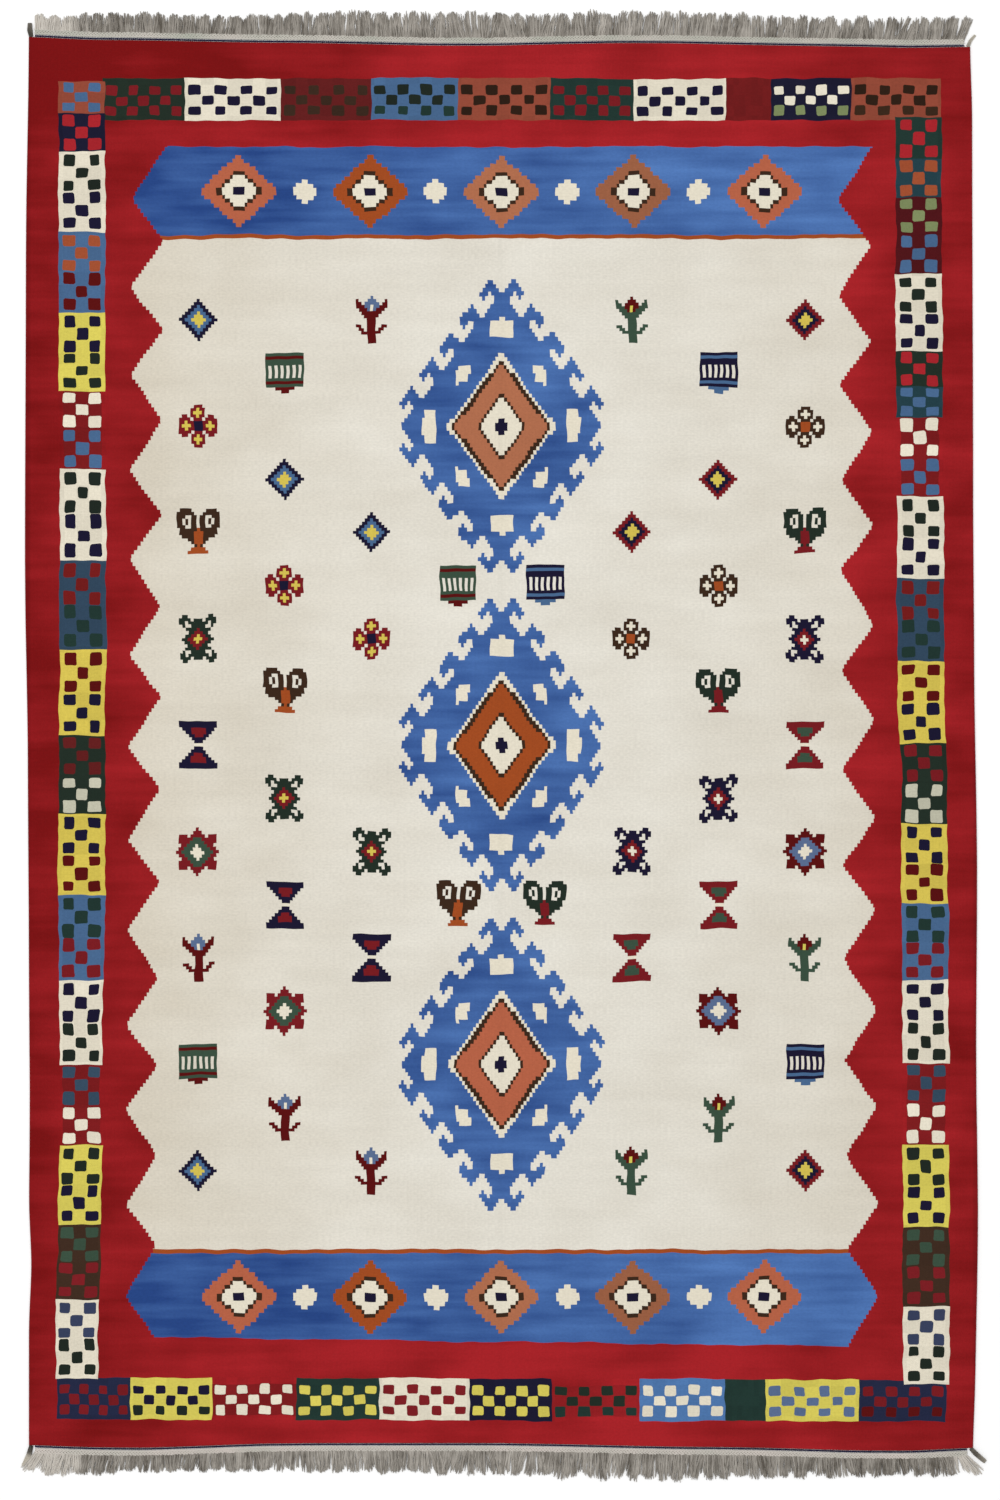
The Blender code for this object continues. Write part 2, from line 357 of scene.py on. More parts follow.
def web_heights(x, y, to_side, to_end):
    """Heights of the lower and the upper face, from the distances to the edges."""
    to_rim = np.minimum(to_side, to_end)
    roundness = np.sqrt(1.0 - (1.0 - (to_rim / (CLOTH / 2)).clip(0.0, 1.0)) ** 2)
    bundle = EDGE_BUNDLE * roundness * np.exp(-((to_side - BUNDLE_AT) / BUNDLE_WIDTH) ** 2)
    fold = FOLD_DEPTH * np.exp(-((x - FOLD_AT) / FOLD_WIDTH) ** 2)
    wide = np.sin(x / WIDE_ACROSS + WIDE_BEND * np.sin(y / WIDE_BEND_PITCH))
    wide = wide * np.sin(y / WIDE_ALONG + WIDE_START)
    narrow = np.sin(x / NARROW_ACROSS - NARROW_START)
    narrow = narrow * np.sin(y / NARROW_ALONG + np.sin(x / NARROW_BEND_PITCH))
    lift = SWELL * (MEAN_SHARE + WIDE_SHARE * wide + NARROW_SHARE * narrow).clip(0.0, 1.0)
    lift = lift * (to_rim / SWELL_FROM).clip(0.0, 1.0)
    lower = CLOTH / 2 * (1.0 - roundness) + lift / 2
    upper = CLOTH / 2 * (1.0 + roundness) + bundle - fold + lift
    return lower, upper


across, along = np.meshgrid(grid_places(WIDTH), grid_places(LENGTH))
grid_x, grid_y = on_floor(across, along)
lower, upper = web_heights(grid_x, grid_y, WIDTH / 2 - np.abs(across), LENGTH / 2 - np.abs(along))

inner = np.zeros(across.shape, bool)
inner[1:-1, 1:-1] = True
upper_index = np.arange(across.size).reshape(across.shape)
lower_index = upper_index.copy()
lower_index[inner] = across.size + np.arange(inner.sum())
flat_places = np.concatenate([
    np.stack([grid_x.ravel(), grid_y.ravel()], 1),
    np.stack([grid_x[inner], grid_y[inner]], 1),
])
unit_places = np.concatenate([
    np.stack([across.ravel() / WIDTH, along.ravel() / LENGTH], 1),
    np.stack([across[inner] / WIDTH, along[inner] / LENGTH], 1),
]) + 0.5
heights = np.concatenate([upper.ravel(), lower[inner]])


def quads(index):
    """The faces of a grid of vertex numbers, seen counter-clockwise from above."""
    return np.stack([index[:-1, :-1], index[:-1, 1:], index[1:, 1:], index[1:, :-1]], -1).reshape(-1, 4)


cloth_faces = np.concatenate([quads(upper_index), quads(lower_index)[:, ::-1]])
cloth_mesh = bpy.data.meshes.new("kilim cloth")
cloth_mesh.from_pydata((np.column_stack([flat_places, heights]) * MM).tolist(), [], cloth_faces.tolist())
cloth_mesh.shade_smooth()
face_corners = cloth_faces.ravel()
field_map = cloth_mesh.uv_layers.new(name="Field")
field_map.data.foreach_set("uv", (flat_places - FIELD_MIDDLE)[face_corners].astype("f4").ravel())
bake_map = cloth_mesh.uv_layers.new(name="OFBake")
unit_map = MAP_MARGIN + (1.0 - 2.0 * MAP_MARGIN) * unit_places
bake_map.data.foreach_set("uv", unit_map[face_corners].astype("f4").ravel())
cloth = show(cloth_mesh, "kilim_cloth")
print("the cloth has", 2 * len(cloth_faces), "triangles and is",
      f"{heights.max() - heights.min():.1f} mm thick at most")

# %% [markdown]
# ## Written sums and tables
#
# A woven pattern is counted, so its nodes are sums: which block is this, and which
# square of it? A long row of Math nodes is hard to read, so `formula` takes the sum
# as text and makes the nodes. A name in the sum is one of the script's values, or
# one given beside it. `read_table` joins places in a table by straight lines, and
# `read_yarns` looks a yarn up by its number in a list.

# %% Sums, tables and groups as nodes
MATH_NODES = {
    "Add": "ADD", "MultAdd": "MULTIPLY_ADD", "Sub": "SUBTRACT", "Mult": "MULTIPLY", "Div": "DIVIDE",
    "Pow": "POWER", "Mod": "FLOORED_MODULO", "Lt": "LESS_THAN", "Gt": "GREATER_THAN", "abs": "ABSOLUTE",
    "floor": "FLOOR", "fract": "FRACT", "min": "MINIMUM", "max": "MAXIMUM", "sin": "SINE",
}
SLOTS = 32


def formula(tree, text, **values):
    """Make the Math nodes of a written sum and return its result as a socket."""
    def work(part):
        if isinstance(part, ast.Constant):
            return part.value
        if isinstance(part, ast.Name):
            return values[part.id] if part.id in values else globals()[part.id]
        if isinstance(part, ast.BinOp):
            name, parts = type(part.op).__name__, [part.left, part.right]
        elif isinstance(part, ast.Compare):
            name, parts = type(part.ops[0]).__name__, [part.left, part.comparators[0]]
        else:
            name, parts = part.func.id, part.args
        if name == "Add" and type(getattr(part.left, "op", None)) is ast.Mult:
            name, parts = "MultAdd", [part.left.left, part.left.right, part.right]
        terms = [work(each) for each in parts]
        if name == "mix":
            return put(tree, "ShaderNodeMix", {2: terms[0], 3: terms[1], 0: terms[2]})
        if name == "smooth":
            ends = {"Value": terms[0], "From Min": terms[1], "From Max": terms[2]}
            return put(tree, "ShaderNodeMapRange", ends, interpolation_type="SMOOTHSTEP")
        return put(tree, "ShaderNodeMath", enumerate(terms), operation=MATH_NODES[name])
    return work(ast.parse(text).body[0].value).outputs[0]


def read_table(tree, place, pairs):
    """Read a table of (place, value) pairs, joined by straight lines."""
    table = np.array(sorted(pairs), float)
    low, span = table.min(0), np.ptp(table, 0)
    share = formula(tree, "x * scale + start", x=place, scale=1.0 / span[0], start=-low[0] / span[0])
    node = put(tree, "ShaderNodeFloatCurve", {"Value": share})
    points = node.mapping.curves[0].points
    table = (table - low) / span
    for x, y in table[1:-1]:
        points.new(x, y)
    points[0].location, points[-1].location = table[0], table[-1]
    for point in points:
        point.handle_type = "VECTOR"
    node.mapping.update()
    return formula(tree, "y * span + low", y=node, low=low[1], span=span[1])


def read_yarns(tree, number, colours):
    """Look a colour up by its number: a ramp of constant steps, which holds up to 32."""
    place = formula(tree, "n * share + share / 2", n=number, share=1.0 / SLOTS)
    node = put(tree, "ShaderNodeValToRGB", {"Fac": place})
    node.color_ramp.interpolation = "CONSTANT"
    steps = node.color_ramp.elements
    steps.remove(steps[1])
    for slot, colour in enumerate(colours):
        step = steps.new(slot / SLOTS) if slot else steps[0]
        step.color = colour
    return node.outputs


def overlay(tree, colour, *layers):
    """Lay colours over a first one in turn, each where its own value is 1."""
    for over, where in layers:
        colour = put(tree, "ShaderNodeMix", {0: where, 6: colour, 7: over}, data_type="RGBA").outputs[2]
    return colour


def start_group(name, *inputs):
    """A node group and its inputs, all plain numbers."""
    group = bpy.data.node_groups.new(name, "ShaderNodeTree")
    for text in inputs:
        group.interface.new_socket(text, in_out="INPUT", socket_type="NodeSocketFloat")
    return group, *put(group, "NodeGroupInput").outputs[:len(inputs)]


def end_group(group, **results):
    """Give the group its outputs, numbers and colours."""
    for text, socket in results.items():
        kind = "NodeSocketColor" if socket.type == "RGBA" else "NodeSocketFloat"
        group.interface.new_socket(text, in_out="OUTPUT", socket_type=kind)
    put(group, "NodeGroupOutput", results)


# %% [markdown]
# ## The yarns
#
# The wool was dyed in small lots. Madder gives the reds and browns, indigo the
# blues, weld the yellows, and weld over indigo the greens. The list holds each lot
# under a dyer's name, so that every pattern below is written in those names.

# %% The dyed yarns
YARNS = {
    "deep madder": "7c0c0e", "bright madder": "a92026", "dull madder": "6f1819", "cherry": "a8222a",
    "claret": "78181e", "garnet": "7d1b21", "brick": "741817", "wine": "5a0a0a", "maroon": "4f1015",
    "chestnut": "621b1b", "rust": "924836", "orange": "a04e2f", "salmon": "b26e4e",
    "terracotta": "b86346", "amber": "a24b1f", "fawn": "9c6043", "umber": "3a2618", "bark": "3e2a1e",
    "peat": "2c1b10", "moss brown": "38261b", "navy": "17132f", "night": "18172f", "midnight": "212742",
    "ink": "37405c", "indigo": "48688f", "sky": "4f78ae", "dusk": "5a6e92", "slate": "30465b",
    "sea": "344a5e", "deep sea": "223f48", "pine": "1d261f", "bottle": "202d24", "forest": "1f3630",
    "leaf": "394f3f", "olive": "7f8c5e", "yellow": "d8cb5b", "gold": "d6c153", "oat": "c4c2ad",
    "ivory": "e4dcc8", "chalk": "e9e1cd",
}


def yarn(name, mark=1.0):
    """A yarn's colour, with a mark as its alpha."""
    return linear(YARNS[name], mark)


print(len(YARNS), "dye lots")

# %% [markdown]
# ## The strips of small squares
#
# Four strips run round the border. Each is a row of blocks, and each block is
# filled with small squares set like the black fields of a chessboard. Blocks on
# the sides are three squares wide. The long ones change their spots half way. A
# block with no ground of its own is woven straight into the madder border, and a
# duller madder was used up between its squares.
#
# The blocks were woven by eye, so their lengths differ. They are in tables, in
# millimetres, from the top down and from left to right.

# %% The blocks of the four strips
SIDE_BLOCKS = {
    "left": (
        # length, ground, upper spots, lower spots
        (47, "rust", "indigo", None), (55, "night", "cherry", None), (120, "ivory", "pine", "navy"),
        (119, "indigo", "orange", "wine"), (115, "yellow", "navy", "pine"),
        (55, "dull border", "chalk", None), (60, "dull border", "indigo", None),
        (136, "ivory", "pine", "navy"), (131, "slate", "brick", "forest"), (127, "gold", "wine", "navy"),
        (61, "bottle", "chestnut", None), (55, "bottle", "oat", None), (120, "gold", "navy", "wine"),
        (126, "indigo", "forest", "claret"), (124, "ivory", "navy", "pine"),
        (61, "dull border", "sea", None), (57, "dull border", "chalk", None),
        (118, "yellow", "pine", "navy"), (111, "bark", "leaf", "garnet"), (116, "ivory", "ink", "pine"),
    ),
    "right": (
        (61, "forest", "cherry", None), (57, "deep sea", "orange", None), (55, "maroon", "olive", None),
        (59, "maroon", "indigo", None), (113, "ivory", "pine", "navy"), (53, "bottle", "cherry", None),
        (46, "deep sea", "indigo", None), (59, "dull border", "chalk", None),
        (57, "dull border", "indigo", None), (122, "ivory", "pine", "navy"),
        (122, "slate", "brick", "forest"), (120, "gold", "wine", "navy"), (59, "bottle", "claret", None),
        (60, "bottle", "oat", None), (119, "gold", "navy", "wine"), (112, "indigo", "forest", "claret"),
        (122, "ivory", "navy", "pine"), (59, "dull border", "sea", None),
        (63, "dull border", "chalk", None), (120, "yellow", "pine", "navy"),
        (118, "bark", "leaf", "garnet"), (115, "ivory", "ink", "pine"),
    ),
}
END_BLOCKS = {
    "top": (
        # length, ground, spots, spots of the last row
        (121, "bottle", "claret", "claret"), (143, "ivory", "navy", "navy"),
        (132, "chestnut", "moss brown", "moss brown"), (129, "indigo", "pine", "forest"),
        (136, "rust", "peat", "peat"), (123, "forest", "claret", "claret"), (137, "ivory", "navy", "navy"),
        (65, "dull madder", "dull madder", "dull madder"), (120, "night", "chalk", "olive"),
        (132, "rust", "peat", "umber"),
    ),
    "bottom": (
        (109, "midnight", "claret", "claret"), (120, "yellow", "navy", "pine"),
        (123, "dull border", "chalk", "chalk"), (124, "forest", "yellow", "yellow"),
        (134, "ivory", "garnet", "garnet"), (121, "night", "yellow", "yellow"),
        (129, "border", "bottle", "forest"), (128, "sky", "chalk", "chalk"),
        (58, "forest", "forest", "forest"), (138, "yellow", "dusk", "dusk"),
        (129, "midnight", "claret", "wine"),
    ),
}
STRIP_STARTS = {"left": 979.6, "right": 927.3, "top": -589.0, "bottom": -656.7}


def strip_units(name):
    """A strip as units of one set of spots each: a table of their bounds, and what fills each."""
    place, units = STRIP_STARTS[name], []
    table = [(place, 0)]
    for length, ground, first, second in {**SIDE_BLOCKS, **END_BLOCKS}[name]:
        halves = 2 if name in SIDE_BLOCKS and second else 1
        for half in range(halves):
            place += length / halves * (-1 if name in SIDE_BLOCKS else 1)
            flush = 0.5 if halves == 1 else 1.0 - half
            units.append((ground, (first, second)[half], second, flush))
            table.append((place, len(units)))
    return table, units


SHARE_OF_DULL = {"border": 0.3, "dull border": 0.7}


def ground_colours(units):
    """The units' grounds. Alpha is below 1 where the border shows through as the ground."""
    return [yarn("dull madder", SHARE_OF_DULL[ground]) if ground in SHARE_OF_DULL else yarn(ground)
            for ground, _, _, _ in units]


def spot_colours(units):
    """The units' spots. Alpha is 0.5 where the squares are centred, 0 or 1 where they sit to one end."""
    return [yarn(spots, flush) for _, spots, _, flush in units]


bounds, units = {}, {}
for name in STRIP_STARTS:
    bounds[name], units[name] = strip_units(name)
    run_length = abs(bounds[name][-1][0] - bounds[name][0][0])
    print(name, "strip:", len(units[name]), "sets of spots over", round(run_length), "mm")

# %% [markdown]
# One group finds the unit, then the square in it. The strips on the sides and at
# the ends share the last steps, so the cheap choice between them is made first.
# The squares keep a little off the block's edge and have blunt corners, because a
# weft that turns back at a corner rounds it.

# %% Group: checked strips
SIDE_MIDDLES = {
    "left": ((1000, -620), (141, -618), (-155, -620), (-598, -621), (-760, -624), (-878, -627),
             (-960, -627)),
    "right": ((1000, 616), (658, 616), (274, 618.5), (67, 619), (-36, 624), (-553, 626.5), (-960, 627)),
}
TOP_MIDDLE = 953.5
BOTTOM_MIDDLE, BOTTOM_SLANT = -965.8, -0.0036
SIDE_HALF_WIDTH, END_HALF_WIDTH = 34.3, 31.0
LEFT_LOSS, LOSS_FROM, LOSS_TO = 2.8, 200.0, 400.0
SIDE_SQUARE, END_SQUARE = 18.7, 15.2
SIDE_COUNT, END_COUNT, CROSS_COUNT = 3.0, 7.0, 3.0
SIDE_SLACK, END_SLACK = 0.19, 0.5
ROW_DROP = 1.6
REACH_ALONG_WEFT, REACH_ALONG_WARP = 0.49, 0.47
LIGHT_GROUND, LIGHT_GROUND_CUT = 0.55, 0.03
REACH_SPREAD, SHADE_SPREAD = 0.13, 0.16
BLUNTNESS = 1.75
FULL_COVER = 0.9
UNIT_SEED, RIGHT_SEED = 10, 500

strips, x, y = start_group("checked strips", "X", "Y")
on_right = formula(strips, "x > 0")
at_bottom = formula(strips, "y < 0")

side_middle, side_unit = [
    formula(strips, "mix(a, b, on_right)", a=read_table(strips, y, table["left"]),
            b=read_table(strips, y, table["right"])) for table in (SIDE_MIDDLES, bounds)]
side_reach = formula(
    strips, "SIDE_HALF_WIDTH - LEFT_LOSS * (1 - on_right) * smooth(0 - y, LOSS_FROM, LOSS_TO)")
on_side = formula(strips, "(abs(x - side_middle) < side_reach) * (side_unit > 0) * (side_unit < count)",
                  count=len(units["left"]))

end_middle = formula(strips, "mix(TOP_MIDDLE, low, at_bottom)",
                     low=formula(strips, "x * BOTTOM_SLANT + BOTTOM_MIDDLE"))
top_count = len(units["top"])
end_place = formula(strips, "mix(a, b, at_bottom)", a=read_table(strips, x, bounds["top"]),
                    b=read_table(strips, x, bounds["bottom"]))
end_unit = formula(strips, "end_place + top_count * at_bottom")
in_end = formula(strips, "(abs(y - end_middle) < END_HALF_WIDTH) * (end_place > 0)"
                 " * (end_place < top_count + at_bottom)")
on_end = formula(strips, "in_end * (1 - on_side)")

side_number = formula(strips, "floor(side_unit)")
end_number = formula(strips, "floor(end_unit)")
end_units = units["top"] + units["bottom"]
lots = ((side_number, units["left"]), (side_number, units["right"]), (end_number, end_units))
left_ground, right_ground, end_ground = [read_yarns(strips, n, ground_colours(rows)) for n, rows in lots]
left_spots, right_spots, end_spots = [read_yarns(strips, n, spot_colours(rows)) for n, rows in lots]
last_spots = read_yarns(strips, end_number, [yarn(last) for _, _, last, _ in end_units])

flush = formula(strips, "mix(a, b, on_right)", a=left_spots["Alpha"], b=right_spots["Alpha"])
side_run = formula(strips, "fract(side_unit) * squares - SIDE_SLACK * flush",
                   squares=SIDE_COUNT + SIDE_SLACK)
side_cross = formula(strips, "(x - side_middle) * share + half", share=1.0 / SIDE_SQUARE,
                     half=CROSS_COUNT / 2)
end_run = formula(strips, "fract(end_unit) * squares + start", squares=END_COUNT + END_SLACK,
                  start=-END_SLACK / 2)
end_cross = formula(strips, "(end_middle - y) * share + start", share=1.0 / END_SQUARE,
                    start=CROSS_COUNT / 2 - ROW_DROP / END_SQUARE)
run = formula(strips, "mix(end_run, side_run, on_side)")
cross = formula(strips, "mix(end_cross, side_cross, on_side)")
count = formula(strips, "mix(END_COUNT, SIDE_COUNT, on_side)")

ground = overlay(strips, left_ground["Color"], (right_ground["Color"], on_right),
                 (end_ground["Color"], on_end))
cover = formula(strips, "mix(a, b, on_right) * on_side + c * on_end", a=left_ground["Alpha"],
                b=right_ground["Alpha"], c=end_ground["Alpha"])
cover = formula(strips, "cover * max(cover > FULL_COVER, (cross > 0) * (cross < CROSS_COUNT))")
last_row = formula(strips, "cross > 2")
end_row = overlay(strips, end_spots["Color"], (last_spots["Color"], last_row))
spots = overlay(strips, left_spots["Color"], (right_spots["Color"], on_right), (end_row, on_end))

square_place = put(strips, "ShaderNodeCombineXYZ", {
    "X": formula(strips, "floor(run) + UNIT_SEED * mix(end_number, side_number, on_side)"
                 " + RIGHT_SEED * on_right * on_side"),
    "Y": formula(strips, "floor(cross) + UNIT_SEED * on_side"),
})
throw = put(strips, "ShaderNodeTexWhiteNoise", {"Vector": square_place}, noise_dimensions="2D")
chance = put(strips, "ShaderNodeSeparateColor", {0: throw.outputs["Color"]}).outputs
shade = formula(strips, "(chance * SHADE_SPREAD + low) * max(on_side, on_end)"
                " + (1 - max(on_side, on_end))", low=1.0 - SHADE_SPREAD / 2, chance=chance[2])

is_light = formula(strips, "red > LIGHT_GROUND", red=put(strips, "ShaderNodeSeparateColor", {0: ground}))
off_run, off_cross = [
    formula(strips, "abs(fract(place) - 0.5) / (chance * REACH_SPREAD"
            " + (most - LIGHT_GROUND_CUT * is_light))", place=place, chance=chance[number],
            most=formula(strips, "mix(end, side, on_side)", end=end - REACH_SPREAD / 2,
                         side=side - REACH_SPREAD / 2))
    for number, place, end, side in ((0, run, REACH_ALONG_WEFT, REACH_ALONG_WARP),
                                     (1, cross, REACH_ALONG_WARP, REACH_ALONG_WEFT))]
in_square = formula(strips, "(max(off_run, off_cross) < 1) * (off_run + off_cross < BLUNTNESS)")
is_spot = formula(strips, "(fract((floor(run) + floor(cross)) / 2) < 0.25)"
                  " * (run > 0) * (run < count) * (cross > 0) * (cross < 3)")
spot_here = formula(strips, "in_square * is_spot * max(on_side, on_end)")
end_group(strips, Ground=ground, Cover=cover, Spots=spots, Spot=spot_here, Shade=shade)
print("the strips take", len(strips.nodes), "nodes")

# %% [markdown]
# ## The field and its edge
#
# The field's sides are cut into wide teeth. In a tapestry weave a slanting line is
# a flight of steps: the weft goes on for a few rows and then moves over by two
# warps. So the place along the rug is first rounded to whole steps, and the edge
# is read from a table of tips after that.

# %% Group: serrated field
STEP_ACROSS, STEP_ALONG = 4.2, 6.0
FIELD_TOP = 883.7
FIELD_BOTTOM, BOTTOM_SLOPE = -880.5, -0.0134
LEFT_INNER = (879, 746, 613, 480, 340, 207, 71, -66, -202, -344, -472, -605, -738, -874)
LEFT_OUTER = (805, 677, 547, 407, 274, 133, -3, -140, -273, -413, -539, -679, -812)
RIGHT_INNER = (805, 665, 532, 392, 259, 111, -36, -177, -313, -465, -605, -745, -886)
RIGHT_OUTER = (879, 736, 596, 463, 325, 178, 37, -107, -243, -391, -534, -676, -812)


def tips(inner, outer, inner_at, outer_at):
    """Points of a toothed edge. Each kind of tip drifts from a place at the top to one at the bottom."""
    return [(along, float(np.interp(along, (-FIELD_TOP, FIELD_TOP), at[::-1])))
            for places, at in ((inner, inner_at), (outer, outer_at)) for along in places]


field, x, y = start_group("serrated field", "X", "Y")
row = formula(field, "floor(y * steps) * STEP_ALONG + half", steps=1.0 / STEP_ALONG, half=STEP_ALONG / 2)
left_edge = read_table(field, row, tips(LEFT_INNER, LEFT_OUTER, (-497, -511), (-546, -556)))
right_edge = read_table(field, row, tips(RIGHT_INNER, RIGHT_OUTER, (495, 511), (544, 557)))
inside = formula(field, "(x > left_edge) * (x < right_edge) * (y < FIELD_TOP)"
                 " * (y > FIELD_BOTTOM + x * BOTTOM_SLOPE)")
end_group(field, Inside=inside)

# %% [markdown]
# ## Small charted figures
#
# Weavers keep small figures as charts on squared paper: stars, combs, ram's horns,
# hooked diamonds. Eight of them are charted here, 15 pairs of warps wide and
# symmetrical, so half of each row is enough. A colour ramp can hold them: the four
# marks are the digits 0 to 3, a half row of eight marks is one number, and the node
# group takes the number apart again.

# %% Charts of eight figures
CHARTS = """
.......#....... .####.....####. ............... .#############.
......###...... ######...###### .#############. .#############.
.###.#####.###. ###..##.##..### .ooooooooooooo. ..###ooooo###..
.#####ooo#####. ##.#.##.##.#.## .#############. ...##ooooo##...
.####ooooo####. ##.#.##.##.#.## .#############. ....##ooo##....
..##ooo+ooo##.. ###..##.##..### .#.#.#.#.#.#.#. .....#####.....
.##ooo+++ooo##. .######o######. .#.#.#.#.#.#.#. ......###......
##ooo+++++ooo## .#####ooo#####. .#.#.#.#.#.#.#. ......+++......
.##ooo+++ooo##. ..####ooo####.. .#.#.#.#.#.#.#. ......###......
..##ooo+ooo##.. ....##ooo##.... .#############. .....#####.....
.####ooooo####. .....#ooo#..... .ooooooooooooo. ....##ooo##....
.#####ooo#####. ......#o#...... .#############. ...##ooooo##...
.###.#####.###. .....ooooo..... ....ooooooo.... ..###ooooo###..
......###...... ....ooooooo.... ......ooo...... .#############.
.......#....... ............... ............... .#############.

............... .......o....... ..##.......##.. ...............
......###...... ..#...ooo...#.. .####.###.####. .......#.......
.....##+##..... ..##.ooooo.##.. .##.#######.##. ......###......
.....#+++#..... ..###oo+oo###.. ..#..#####..#.. .....##o##.....
..##.##+##.##.. ...###o+o###... ...####o####... ....##ooo##....
.####.###.####. ....#######.... ....##ooo##.... ...##oo+oo##...
.##+##ooo##+##. .....#####..... ...##oo+oo##... ..##oo+++oo##..
.#+++#ooo#+++#. ......###...... ..##oo+++oo##.. .##oo+++++oo##.
.##+##ooo##+##. ......###...... ...##oo+oo##... ..##oo+++oo##..
.####.###.####. ..##..###..##.. ....##ooo##.... ...##oo+oo##...
..##.##+##.##.. ...##.###.##... ...####o####... ....##ooo##....
.....#+++#..... ....#######.... ..#..#####..#.. .....##o##.....
.....##+##..... ......###...... .##.#######.##. ......###......
......###...... ......###...... .####.###.####. .......#.......
............... ......###...... ..##.......##.. ...............
"""
CHARTS_ABREAST = 4
MARKS = ".#o+"
HALF = 8


def chart_number(row):
    """Half a row of marks, from its middle outwards, as the digits of a number below 1."""
    digits = [MARKS.index(mark) for mark in row[HALF - 1:]]
    number = sum(digit / len(MARKS) ** (place + 1) for place, digit in enumerate(digits))
    return number + 0.5 / len(MARKS) ** HALF


def chart_slots(block):
    """A row of four charts as ramp colours: red holds the rows from the middle up, green those down."""
    rows = [line.split() for line in block.split("\n")]
    return [(*[chart_number(rows[HALF - 1 + way * off][chart]) for way in (-1, 1)], 0.0, 1.0)
            for chart in range(CHARTS_ABREAST) for off in range(HALF)]


chart_blocks = [chart_slots(block) for block in CHARTS.strip().split("\n\n")]
print(len(chart_blocks) * CHARTS_ABREAST, "charts in", len(chart_blocks), "ramps")

# %% Group: small figures
FIGURE_ACROSS, FIGURE_ALONG = 4.3, 4.7
COLUMN_PITCH, ROW_PITCH = 128.0, 157.0
MEDALLION_PITCH = 471.0
MEDALLION_HALF_WIDTH, MEDALLION_HALF_LENGTH = 148.0, 202.0
FIGURE_LIMIT, LAST_COLUMN = 690.0, 3.5
CLEAR_OF_MEDALLION = 1.5
CHART_REACH = 7.5
FIGURE_YARNS = (
    ("claret", "navy", "gold"), ("navy", "claret", "chalk"), ("leaf", "wine", "yellow"),
    ("umber", "amber", "chalk"), ("claret", "leaf", "chalk"), ("navy", "indigo", "gold"),
    ("bottle", "claret", "gold"), ("wine", "dusk", "chalk"),
)
KINDS, LOTS = 8, len(FIGURE_YARNS)

figures, x, y = start_group("small figures", "X", "Y")
side = formula(figures, "x > 0")
column = formula(figures, "floor(abs(x) / COLUMN_PITCH)")
drop = formula(figures, "ROW_PITCH / 2 * (1 - column % 2)")
line = formula(figures, "floor((y + drop) / ROW_PITCH + 0.5)")
middle_x = formula(figures, "(column + 0.5) * COLUMN_PITCH")
middle_y = formula(figures, "line * ROW_PITCH - drop")
off_x = formula(figures, "floor(abs(abs(x) - middle_x) / FIGURE_ACROSS + 0.5)")
off_y = formula(figures, "floor((y - middle_y) / FIGURE_ALONG + 0.5)")
ring = formula(figures, "middle_x / MEDALLION_HALF_WIDTH"
               " + abs(middle_y - floor(middle_y / MEDALLION_PITCH + 0.5) * MEDALLION_PITCH)"
               " / MEDALLION_HALF_LENGTH")
allowed = formula(figures, "(ring > CLEAR_OF_MEDALLION) * (abs(middle_y) < FIGURE_LIMIT)"
                  " * (column < LAST_COLUMN) * (off_x < CHART_REACH) * (abs(off_y) < CHART_REACH)")
kind = formula(figures, "(line * 3 + column * 5 + 4) % KINDS")
slot = formula(figures, "(kind % CHARTS_ABREAST) * HALF + abs(off_y)")
first, second = [
    put(figures, "ShaderNodeSeparateColor", {0: read_yarns(figures, slot, slots)["Color"]}).outputs
    for slots in chart_blocks]
up, down = [formula(figures, "mix(a, b, kind > last)", a=first[way], b=second[way],
                    last=CHARTS_ABREAST - 0.5) for way in (0, 1)]
number = formula(figures, "mix(down, up, off_y > 0)")
mark = formula(figures, "floor(number * 4 ** (off_x + 1)) % 4")
lot = formula(figures, "(line * 5 + column * 3 + side * 3) % LOTS")
figure_colours = [yarn(names[place]) for place in range(3) for names in FIGURE_YARNS]
colour = read_yarns(figures, formula(figures, "lot + LOTS * (mark - 1)"), figure_colours)
end_group(figures, Colour=colour["Color"], Here=formula(figures, "allowed * (mark > 0.5)"))
print("the figures take", len(figures.nodes), "nodes")

# %% [markdown]
# ## Three hooked medallions and two panels
#
# Down the middle goes a chain of three stepped diamonds with latch hooks, which
# many tribal kilims have. A diamond is where the share of its half width and the
# share of its half length come to less than one. That sum also gives its rings.
# A blue panel with a row of lozenges closes the field at either end.

# %% Group: medallions
RINGS = 24
RING_YARNS = ("navy",) * 2 + ("chalk",) * 3 + ("umber",) + (None,) * 5 + ("umber", "chalk")
MEDALLION_YARNS = ("terracotta", "amber", "salmon")
INNER_FROM, INNER_TO = 6, 11
HOOKS, FLAKES = 2.5, 1.5
STEM_FROM, STEM_TO, STEM_SHARE = 0.99, 1.16, 0.34
BARB_FROM, BARB_TO, BARB_SHARE = 1.1, 1.2, 0.66
HOOK_LIMIT = 0.96
FLAKE_AT, FLAKE_DEPTH, FLAKE_SHARE = 0.77, 0.1, 0.24

